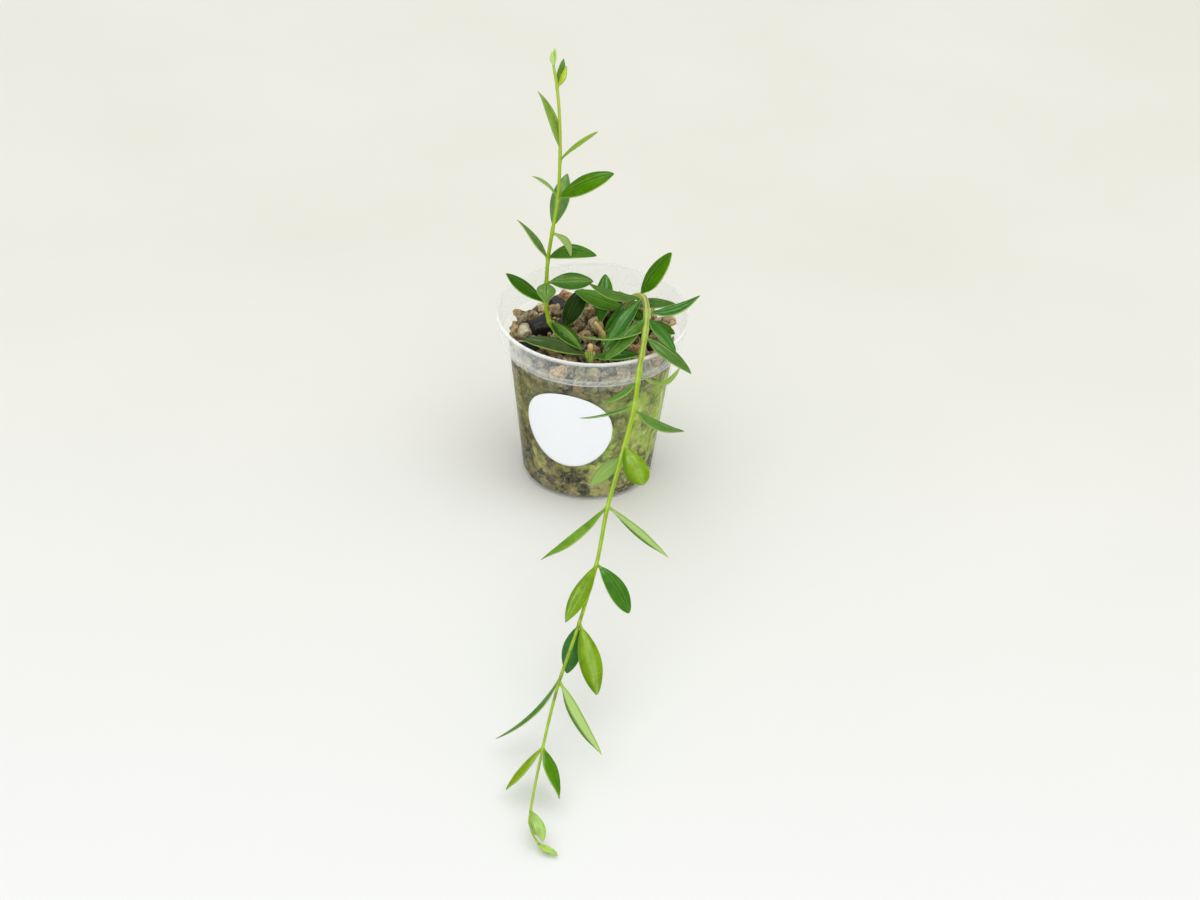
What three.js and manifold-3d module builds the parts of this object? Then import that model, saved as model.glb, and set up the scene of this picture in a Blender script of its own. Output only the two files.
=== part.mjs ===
// A small potted hoya: a clear tapered pot with a round sticker, a bed of pumice grains with chunks of
// bark, one upright shoot, one long shoot that trails over the rim to the table, and five short cuttings.
// Millimetres and degrees. The origin is the middle of the pot's foot, +Z is up, the long shoot trails to -Y.

import * as THREE from 'three';
import { mergeVertices } from 'three/addons/utils/BufferGeometryUtils.js';
import Module from 'manifold-3d';

const wasm = await Module();
wasm.setup();

const GAP = 0.3;

const POT = {
  height: 66.5,
  rimRadius: 35,
  collarHeight: 11,
  collarFootRadius: 33.2,
  neckRadius: 31,
  footRadius: 24.5,
  wall: 1,
  floor: 1.2,
  sides: 48,
  drainHoles: 6,
  drainRadius: 2,
  drainRing: 15,
};
const NECK = POT.height - POT.collarHeight;

const STICKER = { radius: 16.7, thickness: 0.4, rings: 5, sides: 36, heading: -105.5, height: 32.7 };

const BED = {
  top: 55,
  sides: 32,
  rows: 9,
  relief: 1.5,
  stones: 74,
  stoneRadius: 3.1,
  stoneRise: 0.8,
  spread: 28.4,
  unevenness: 0.9,
};

const STEM = { sides: 6, stepsBetweenNodes: 3, swelling: 1.25, tapering: 1.5 };

const LEAF = {
  sides: 6,
  steps: 6,
  thickness: 1.2,
  crown: 0.2,
  stalk: 0.09,
  stalkRadius: 0.55,
  tip: 0.3,
  fullness: 0.75,
};

// Points along a stem, from its buried end to its tip. Its radius stays the same up to taperFrom, a share of
// its length, and then falls to tipRadius. Leaves grow at the points, its nodes, or between two of them.
// A leaf is [node, heading, rise, length, width, roll, arch, widest, point]: the heading and rise of the line
// from the node to the tip, the turn of the blade round that line, how far the middle stands above the line
// as a share of its length, where the blade is widest, and how drawn out its tip is. A negative arch sags.
const SHOOTS = {
  upright_shoot: {
    colour: 0x6f9a1c,
    radius: 0.95,
    tipRadius: 0.6,
    taperFrom: 0.1,
    path: [
      [-11.8, -5.5, 42], [-11.8, -5.5, 50], [-12.1, -5, 58.2], [-15.4, -4, 63.9], [-16.9, -3, 70.8],
      [-16.9, -2.5, 79.3], [-16.6, -2, 88.6], [-15.4, -1.5, 99.6], [-13.8, -1, 113], [-13.4, -1, 130.4],
      [-14, -1.2, 146], [-15.1, -1.5, 157.4], [-16.5, -2, 166],
    ],
    leaves: [
      [3, -50, -6.5, 19, 6.5, 5, 0.1, 0.45, 0.75], [4, 158, 28, 18, 5.6, -10, 0.03, 0.5, 0.75],
      [5, 10, -1, 17, 6.8, 32, 0.11, 0.5, 0.75], [5, -89, -14, 10, 7, -4, 0.15, 0.4, 0.9],
      [6, 148, 41, 18, 5, 15, 0.06, 0.38, 1.1], [6, -20, 19, 19.5, 6, 27, 0.25, 0.5, 0.65],
      [7.1, 67, 56, 20.5, 7, 0, 0.06, 0.5, 0.75], [7, -60, -6, 14.5, 4.6, -92, 0.16, 0.66, 0.6],
      [8, 140, 20, 13, 4.5, 56, 0.12, 0.5, 0.9], [8, -8, 33, 23.5, 8.2, 30, 0.12, 0.52, 0.7],
      [9.1, 150, 65, 23, 4.6, 0, 0.11, 0.42, 1.1], [8.9, -20, 47, 20, 5, -21, 0.04, 0.64, 0.65],
      [11, 20, 79, 11, 3, -80, 0.05, 0.5, 0.8], [11, -15, 70, 9.5, 3, 45, -0.02, 0.5, 0.8],
      [12, 60, 84, 6.5, 1.7, 0, 0.05, 0.45, 0.8], [12, -120, 78, 6, 1.6, 20, -0.05, 0.45, 0.8],
    ],
  },
  trailing_shoot: {
    colour: 0x83ad2a,
    radius: 1.3,
    tipRadius: 0.36,
    taperFrom: 0.28,
    path: [
      [12, 10, 42], [12, 10, 50], [12, 10, 57], [12, 9, 64.3], [15, 6.5, 69.5], [18, 3, 71.3],
      [19.5, -8.7, 72.1], [18.9, -22.2, 70.4], [17, -39.9, 65.2], [16.1, -51.4, 61.1],
      [12.6, -70.7, 54.2], [8.1, -92.5, 46.5], [5.1, -115, 38.6], [0.2, -137.3, 30.8], [-6, -160.6, 21.9],
      [-9.8, -182, 14.1], [-12.6, -203.2, 6.3], [-12.8, -207.2, 4.4], [-11.3, -211.3, 2.5],
      [-9.5, -213.7, 1.3],
    ],
    leaves: [
      [2.7, -165, 27, 21.5, 7, -34, 0.06, 0.5, 0.7], [3, 0, 4, 18, 6, 4, 0.06, 0.5, 0.75],
      [4.6, 19, 56, 20.2, 8.2, 16, 0.06, 0.42, 0.65], [5, -165, 22, 22, 5.5, -12, -0.08, 0.5, 0.75],
      [5, -124, -24.3, 26.2, 5.8, -8, 0.08, 0.5, 0.75], [6.2, -130, -19, 24, 6, -8, 0.06, 0.5, 0.75],
      [6, 12, 17, 20, 6.2, 0, -0.07, 0.42, 0.8], [6.2, -62, -5, 22, 5.5, -14, 0.04, 0.45, 0.75],
      [6.75, -165, 1, 23.5, 5, 35, -0.08, 0.5, 0.75], [7, -44, -10, 23.5, 6.3, 0, 0.06, 0.42, 0.8],
      [7.85, -25, 23, 17, 5, -33, -0.3, 0.5, 0.75], [8.15, -140, -14, 15, 5, 25, -0.04, 0.5, 0.8],
      [9, -158, -4, 20.5, 5, 28, -0.05, 0.4, 0.7], [9.1, -22, -11, 19.5, 5.2, -4, -0.1, 0.45, 0.8],
      [9.9, -66, -16, 17.5, 8.5, 4, 0.14, 0.7, 0.6], [10.1, -150, -34, 14, 6, 98, 0.06, 0.5, 0.75],
      [11, -153, -32, 29, 5.4, 10, -0.035, 0.5, 1.2], [11, -35, -20.5, 27.5, 4.9, -78, 0.03, 0.45, 1],
      [12, -111, -13, 27, 6.1, 2, 0.03, 0.5, 0.8], [12, -48, -31, 20, 7, 8, 0.18, 0.6, 0.6],
      [13, -120, -67, 18, 7, 0, 0.08, 0.52, 0.7], [13, -67, -45, 24.5, 7.8, 0, 0.14, 0.52, 0.7],
      [13.8, -144, -32, 30, 5.5, 41, -0.09, 0.38, 0.9], [13.9, -57.5, -22, 29.5, 6.4, -104, 0, 0.4, 0.95],
      [15, -135, -29, 18, 5.2, 31, 0.04, 0.5, 0.75], [15, -69, -24, 18.5, 5.6, -25, 0.08, 0.42, 1.2],
      [16.1, -72, -1, 14.5, 4.4, -20, 0.1, 0.5, 0.75], [17, -60, 8, 8, 2.6, 10, -0.05, 0.5, 0.75],
      [19, -40, 0, 8, 2.6, 0, 0.05, 0.5, 0.75], [19, -52, 6, 6, 2, 0, 0.05, 0.5, 0.75],
    ],
  },
  stub_cutting: {
    colour: 0x8a7a3c,
    radius: 1,
    tipRadius: 1,
    taperFrom: 0,
    path: [[4.3, -2.8, 47], [4.3, -2.8, 53], [4.1, -2.8, 58.5], [0.9, -3, 64]],
    leaves: [
      [2, 45, 40, 14.5, 5, -16, 0.06, 0.5, 0.75],
    ],
  },
  back_cutting: {
    colour: 0x3f6b24,
    radius: 0.9,
    tipRadius: 0.8,
    taperFrom: 0,
    path: [[3.1, 2.2, 47], [3.1, 2.2, 53], [3.1, 2.2, 58.5], [3.2, 2.6, 60.5]],
    leaves: [
      [2, 87, 33, 21.5, 7.2, -20, 0.06, 0.55, 0.7],
    ],
  },
  middle_cutting: {
    colour: 0x4d5c2a,
    radius: 0.9,
    tipRadius: 0.8,
    taperFrom: 0,
    path: [[-10.2, -1.4, 47], [-10.2, -1.4, 53], [-10.4, -1.8, 59], [-10.6, -1.7, 61]],
    leaves: [
      [2, 56, 44, 17, 8, 2, 0.08, 0.5, 0.6],
    ],
  },
  front_cutting: {
    colour: 0x55702a,
    radius: 1.1,
    tipRadius: 1.1,
    taperFrom: 0,
    path: [[0.4, -17, 47], [0.4, -17, 53], [0, -17.3, 57.5], [-0.3, -17.2, 63.5]],
    leaves: [
      [2, 173, 11, 25.5, 6.5, -10, 0.12, 0.5, 0.7], [2, 155, 14, 16, 4.5, 0, 0.08, 0.5, 0.75],
      [2, -12, 15, 18.5, 5.5, 6, 0.06, 0.5, 0.75], [2, -130, 50, 5, 2.2, -60, 0, 0.5, 0.75],
    ],
  },
  right_cutting: {
    colour: 0x4f6b27,
    radius: 0.9,
    tipRadius: 0.8,
    taperFrom: 0,
    path: [[19.2, 5.5, 47], [19.2, 5.5, 53], [19, 5.2, 57], [18.8, 4.8, 60]],
    leaves: [
      [3, -34, 0, 13.5, 6, 12, 0.08, 0.5, 0.7], [3, 150, 31, 7, 5, -12, 0.1, 0.5, 0.75],
    ],
  },
};

// Chunks of bark: place of the middle, length, width, height, turn about Z, tilt.
const BARK = [
  { at: [-18.8, 2.6, 56.5], size: [9.5, 6.5, 9], turn: 35, tilt: 12 },
  { at: [-22.5, -9.5, 56], size: [7, 5, 5], turn: -20, tilt: -15 },
  { at: [-10.8, 7, 56], size: [6, 4.5, 5], turn: 70, tilt: 20 },
  { at: [6, 9.5, 57], size: [6.5, 4.5, 5], turn: 10, tilt: -18 },
  { at: [22.5, -6.5, 56.5], size: [8, 5, 5.5], turn: -55, tilt: 15 },
  { at: [10.5, -6.5, 56], size: [6, 4.5, 5], turn: 40, tilt: 10 },
  { at: [12.5, 20, 56.5], size: [7, 5, 5.5], turn: 25, tilt: 10 },
  { at: [-13, 20, 56], size: [7.5, 5, 5], turn: -40, tilt: -12 },
];

const PLASTIC = { color: 0xdfe6e4, roughness: 0.25, metalness: 0, transparent: true, opacity: 0.35 };
const PAPER = { color: 0xf2f4f8, roughness: 0.6, metalness: 0 };
const PUMICE = { color: 0xb59a78, roughness: 0.95, metalness: 0 };
const CHARRED = { color: 0x1f1a17, roughness: 0.9, metalness: 0 };
const WAXY = { roughness: 0.45, metalness: 0 };

const GOLDEN_ANGLE = Math.PI * (3 - Math.sqrt(5));
const radians = THREE.MathUtils.degToRad;

function randomFrom(seed) {
  let state = seed;
  return () => {
    state = (state * 1664525 + 1013904223) % 4294967296;
    return state / 4294967296;
  };
}

function insideRadius(z) {
  const inWall = POT.footRadius + (POT.neckRadius - POT.footRadius) * z / NECK;
  const flare = POT.rimRadius - POT.collarFootRadius;
  const inCollar = POT.collarFootRadius + flare * (z - NECK) / POT.collarHeight;
  return (z > NECK + POT.wall ? inCollar : inWall) - POT.wall;
}

// The same shape with one vertex where faces meet.
function joined(geometry) {
  const bare = geometry.clone();
  bare.deleteAttribute('normal');
  bare.deleteAttribute('uv');
  return mergeVertices(bare, 1e-3);
}

function toSolid(geometry) {
  const closed = joined(geometry);
  return new wasm.Manifold(new wasm.Mesh({
    numProp: 3,
    vertProperties: closed.attributes.position.array,
    triVerts: Uint32Array.from(closed.index.array),
  }));
}

function toGeometry(solid) {
  const mesh = solid.getMesh();
  const geometry = new THREE.BufferGeometry();
  geometry.setAttribute('position', new THREE.BufferAttribute(Float32Array.from(mesh.vertProperties), 3));
  geometry.setIndex(new THREE.BufferAttribute(Uint32Array.from(mesh.triVerts), 1));
  geometry.computeVertexNormals();
  return geometry;
}

function largestBody(solid) {
  return solid.decompose().reduce((best, body) => (body.volume() > best.volume() ? body : best));
}

function piece(name, solid, material) {
  const mesh = new THREE.Mesh(toGeometry(solid), new THREE.MeshStandardMaterial(material));
  mesh.name = name;
  return mesh;
}

function lathe(profile, sides = POT.sides) {
  const points = profile.map(([radius, z]) => new THREE.Vector2(radius, z));
  return new THREE.LatheGeometry(points, sides).rotateX(Math.PI / 2);
}

// A capped cylinder whose skin is carried to other places: place(share, x, z) gives the point for a share
// of the length and a place in the unit section.
function bentCylinder(sides, steps, place) {
  const geometry = new THREE.CylinderGeometry(1, 1, 1, sides, steps);
  const position = geometry.attributes.position;
  for (let i = 0; i < position.count; i++) {
    const point = place(position.getY(i) + 0.5, position.getX(i), position.getZ(i));
    position.setXYZ(i, point.x, point.y, point.z);
  }
  return geometry;
}

function potSolid() {
  const w = POT.wall;
  const shell = toSolid(lathe([
    [0, 0], [POT.footRadius, 0], [POT.neckRadius, NECK], [POT.collarFootRadius, NECK],
    [POT.rimRadius, POT.height], [POT.rimRadius - w, POT.height], [POT.collarFootRadius - w, NECK + w],
    [POT.neckRadius - w, NECK + w], [insideRadius(POT.floor), POT.floor], [0, POT.floor],
  ]));
  let pot = shell;
  for (let i = 0; i < POT.drainHoles; i++) {
    const angle = i * 2 * Math.PI / POT.drainHoles;
    const drill = new THREE.CylinderGeometry(POT.drainRadius, POT.drainRadius, 3 * POT.floor, 12);
    drill.rotateX(Math.PI / 2);
    drill.translate(POT.drainRing * Math.cos(angle), POT.drainRing * Math.sin(angle), POT.floor / 2);
    pot = pot.subtract(toSolid(drill));
  }
  return pot;
}

// The sticker is a flat disc laid round the tapered wall.
function stickerSolid() {
  const s = STICKER;
  const share = Array.from({ length: s.rings + 1 }, (_, i) => i / s.rings);
  const back = share.map((k) => new THREE.Vector2(k * s.radius, 0));
  const front = share.map((k) => new THREE.Vector2(k * s.radius, s.thickness)).reverse();
  const disc = new THREE.LatheGeometry([...back, ...front], s.sides);
  const position = disc.attributes.position;
  const taper = Math.atan2(POT.neckRadius - POT.footRadius, NECK);
  const bend = insideRadius(s.height) + POT.wall;
  for (let i = 0; i < position.count; i++) {
    const z = s.height + position.getZ(i) * Math.cos(taper);
    const radius = insideRadius(z) + POT.wall + GAP + position.getY(i);
    const angle = radians(s.heading) - position.getX(i) / bend;
    position.setXYZ(i, radius * Math.cos(angle), radius * Math.sin(angle), z);
  }
  return toSolid(disc);
}

function stemCurve(shoot) {
  return new THREE.CatmullRomCurve3(shoot.path.map((p) => new THREE.Vector3(...p)), false, 'centripetal');
}

// A stem is a tube along its points, a little swollen at each node with leaves. Grow makes it that much
// larger all round, for the hollow that it needs in the bed.
function stemSolid(shoot, grow) {
  const curve = stemCurve(shoot);
  curve.points[0].z -= grow;
  const steps = (curve.points.length - 1) * STEM.stepsBetweenNodes;
  const swollen = shoot.leaves.map(([node]) => Math.round(node) * STEM.stepsBetweenNodes);
  const reference = new THREE.Vector3(1, 0, 0);
  return toSolid(bentCylinder(STEM.sides, steps, (share, x, z) => {
    const along = curve.getTangent(share);
    const across = new THREE.Vector3().crossVectors(reference, along).normalize();
    const third = new THREE.Vector3().crossVectors(across, along);
    const step = Math.round(share * steps);
    const tapered = Math.max(0, (share - shoot.taperFrom) / (1 - shoot.taperFrom));
    const plain = THREE.MathUtils.lerp(shoot.tipRadius, shoot.radius, (1 - tapered) ** STEM.tapering);
    const radius = plain * (swollen.includes(step) && step < steps ? STEM.swelling : 1) + grow;
    return curve.getPoint(share).addScaledVector(across, x * radius).addScaledVector(third, z * radius);
  }));
}

// The outline of a blade, as a share of its half width, widens to its widest place and narrows again.
function outlineAt(share, widest, point) {
  const way = share < widest ? share / widest : (1 - share) / (1 - widest);
  return Math.sin(way * Math.PI / 2) ** (share < widest ? LEAF.fullness : point);
}

// A leaf is a thick blade: a stalk, then an outline that widens and narrows again to its tip. Its edges
// lie a little lower than its middle.
function leafSolid(shoot, leaf, grow) {
  const [node, headingDegrees, riseDegrees, length, width, rollDegrees, arch, widest, point] = leaf;
  const edge = Math.sin(Math.PI / 3);
  const heading = radians(headingDegrees);
  const rise = radians(riseDegrees);
  const along = new THREE.Vector3(
    Math.cos(rise) * Math.cos(heading), Math.cos(rise) * Math.sin(heading), Math.sin(rise));
  const up = new THREE.Vector3(
    -Math.sin(rise) * Math.cos(heading), -Math.sin(rise) * Math.sin(heading), Math.cos(rise));
  up.applyAxisAngle(along, radians(rollDegrees));
  const across = new THREE.Vector3().crossVectors(along, up);
  const base = stemCurve(shoot).getPoint(node / (shoot.path.length - 1));
  return toSolid(bentCylinder(LEAF.sides, LEAF.steps, (share, x, z) => {
    const atTip = share > 1 - 0.5 / LEAF.steps;
    const bladeShare = Math.max(0, (share - LEAF.stalk) / (1 - LEAF.stalk));
    const narrowest = THREE.MathUtils.lerp(LEAF.stalkRadius, LEAF.tip, share);
    const halfWidth = Math.max(narrowest, outlineAt(bladeShare, widest, point) * width / 2);
    const halfThickness = LEAF.thickness / (atTip ? 4 : 2);
    const droop = LEAF.crown * (halfWidth - narrowest) * (x / edge) ** 2;
    const lift = arch * length * 4 * share * (1 - share) - droop + z * (halfThickness + grow);
    return base.clone()
      .addScaledVector(along, share * length + (atTip ? grow : 0))
      .addScaledVector(up, lift)
      .addScaledVector(across, x / edge * (halfWidth + grow));
  }));
}

function shootSolid(shoot, grow = 0) {
  return shoot.leaves.reduce((body, leaf) => body.add(leafSolid(shoot, leaf, grow)), stemSolid(shoot, grow));
}

// A chunk of bark is a block with its corners knocked in by different amounts.
function barkSolid(chunk, seed, grow) {
  const random = randomFrom(seed);
  const block = joined(new THREE.BoxGeometry(1, 1, 1));
  const position = block.attributes.position;
  for (let i = 0; i < position.count; i++) {
    const corner = [position.getX(i), position.getY(i), position.getZ(i)];
    const size = chunk.size.map((side) => side * (0.78 + 0.3 * random()) + 2 * grow);
    position.setXYZ(i, ...corner.map((place, axis) => place * size[axis]));
  }
  block.rotateX(radians(chunk.tilt));
  block.rotateZ(radians(chunk.turn));
  block.translate(...chunk.at);
  return toSolid(block);
}

function stoneSolid(x, y, z, radius, random) {
  const stone = joined(new THREE.IcosahedronGeometry(radius));
  const position = stone.attributes.position;
  for (let i = 0; i < position.count; i++) {
    const chip = 0.8 + 0.3 * random();
    position.setXYZ(i, position.getX(i) * chip, position.getY(i) * chip, position.getZ(i) * chip);
  }
  stone.rotateX(random() * Math.PI);
  stone.rotateZ(random() * Math.PI);
  stone.translate(x, y, z);
  return toSolid(stone);
}

// The core of the bed fills the pot. Its side is uneven, as packed grains are.
function bedCore(bottom) {
  const random = randomFrom(11);
  const side = Array.from({ length: BED.rows + 1 }, (_, i) => bottom + (BED.top - bottom) * i / BED.rows);
  const outline = [[0, bottom], ...side.map((z) => [insideRadius(z) - GAP, z]), [0, BED.top]];
  const core = joined(lathe(outline, BED.sides));
  const position = core.attributes.position;
  for (let i = 0; i < position.count; i++) {
    const shrink = 1 - BED.relief * random() / POT.footRadius;
    position.setX(i, position.getX(i) * shrink);
    position.setY(i, position.getY(i) * shrink);
  }
  return toSolid(core);
}

// Whole stones stand out of the top of the core, in a sunflower's spiral.
function bedSolid(hollows) {
  const random = randomFrom(12);
  const bottom = POT.floor + GAP;
  let bed = bedCore(bottom);
  for (let i = 0; i < BED.stones; i++) {
    const out = BED.spread * Math.sqrt((i + 0.5) / BED.stones);
    const angle = i * GOLDEN_ANGLE;
    const radius = BED.stoneRadius * (0.85 + 0.35 * random());
    const z = BED.top + BED.stoneRise + BED.unevenness * (2 * random() - 1);
    bed = bed.add(stoneSolid(out * Math.cos(angle), out * Math.sin(angle), z, radius, random));
  }
  const collarFloor = NECK + POT.wall + GAP;
  const inside = toSolid(lathe([
    [0, bottom], [insideRadius(bottom) - GAP, bottom], [insideRadius(NECK) - GAP, collarFloor],
    [POT.collarFootRadius - POT.wall - GAP, collarFloor], [POT.rimRadius - POT.wall - GAP, POT.height],
    [0, POT.height],
  ]));
  return largestBody(hollows.reduce((body, hollow) => body.subtract(hollow), bed.intersect(inside)));
}

const shoots = Object.entries(SHOOTS);
const shootHollows = shoots.map(([, shoot]) => shootSolid(shoot, GAP));
const barkHollows = BARK.map((chunk, i) => barkSolid(chunk, i + 1, 2 * GAP));

const plant = new THREE.Group();
plant.add(piece('pot', potSolid(), PLASTIC));
plant.add(piece('sticker', stickerSolid(), PAPER));
plant.add(piece('bed', bedSolid([...shootHollows, ...barkHollows]), PUMICE));
BARK.forEach((chunk, i) => {
  const solid = shootHollows.reduce((body, hollow) => body.subtract(hollow), barkSolid(chunk, i + 1, 0));
  plant.add(piece(`bark_${i + 1}`, largestBody(solid), CHARRED));
});
for (const [name, shoot] of shoots) {
  plant.add(piece(name, shootSolid(shoot), { color: shoot.colour, ...WAXY }));
}

export default plant;
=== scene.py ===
import math
import random

import bmesh
import bpy
import numpy as np
from mathutils import Matrix, Vector, kdtree, noise


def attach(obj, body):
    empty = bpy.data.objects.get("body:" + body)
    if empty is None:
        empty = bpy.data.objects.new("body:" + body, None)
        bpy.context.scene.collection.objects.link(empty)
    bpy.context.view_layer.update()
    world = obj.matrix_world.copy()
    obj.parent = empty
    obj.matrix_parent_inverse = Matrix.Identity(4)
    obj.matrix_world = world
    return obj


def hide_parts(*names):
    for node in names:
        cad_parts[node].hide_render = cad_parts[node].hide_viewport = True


# A small potted hoya in a clear nursery pot. Shapes are worked out in millimetres in the part's own frame:
# the origin is the middle of the pot's foot, +Z is up, and the long shoot trails to -Y.

MM = 0.001

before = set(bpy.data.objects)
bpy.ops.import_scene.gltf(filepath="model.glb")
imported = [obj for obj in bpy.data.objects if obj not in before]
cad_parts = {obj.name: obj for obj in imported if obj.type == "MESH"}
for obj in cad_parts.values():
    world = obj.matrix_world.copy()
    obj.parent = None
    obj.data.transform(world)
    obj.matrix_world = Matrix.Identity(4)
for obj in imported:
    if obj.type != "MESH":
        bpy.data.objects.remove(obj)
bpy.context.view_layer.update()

POT = {
    "height": 66.5,
    "rim_radius": 35,
    "collar_height": 11,
    "collar_foot_radius": 33.2,
    "neck_radius": 31,
    "foot_radius": 24.5,
    "wall": 0.7,
    "floor": 1.2,
    "drain_holes": 6,
    "drain_radius": 2,
    "drain_ring": 15,
}
NECK = POT["height"] - POT["collar_height"]

# How far inside the wall's outer face the grains and the core end.
INNER = POT["wall"] + 0.1

STICKER = {"radius": 16.6, "thickness": 0.22, "lift": 0.06, "heading": -105.5, "height": 32.7}

# The bed: the height of its top, the grains on top, how far out their middles lie and how far out they may
# reach below and above the step in the wall, how far in front of the middle the top turns mossy and how much
# lower it lies there, the rows of grains against the wall and the room for each, and the loose crumbs.
BED = {
    "top": 55,
    "grains": 190,
    "spread": 29.6,
    "reach": 29.9,
    "reach_in_collar": 32.3,
    "mossy_front": 18,
    "mossy_drop": 1.6,
    "row_height": 4.1,
    "grain_room": 4.6,
    "crumbs": 230,
    "crumb_spread": 30.5,
}
ROOTS = 16

# The mesh of a leaf: its rings, its stalk as a share of its length, and the points across half of it as
# shares of its half width. The mesh of a stem, a little thinner than the six-sided one in the frame.
LEAF = {"steps": 44, "stalk": 0.08, "stalk_radius": 0.5, "tip_radius": 0.14, "fullness": 0.75}
ACROSS = np.array([0, 0.06, 0.13, 0.24, 0.38, 0.54, 0.7, 0.83, 0.92, 0.98])
STEM = {"steps_per_span": 14, "around": 18, "rounded": 0.9, "tapering": 1.5, "swelling": 0.26}

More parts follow.
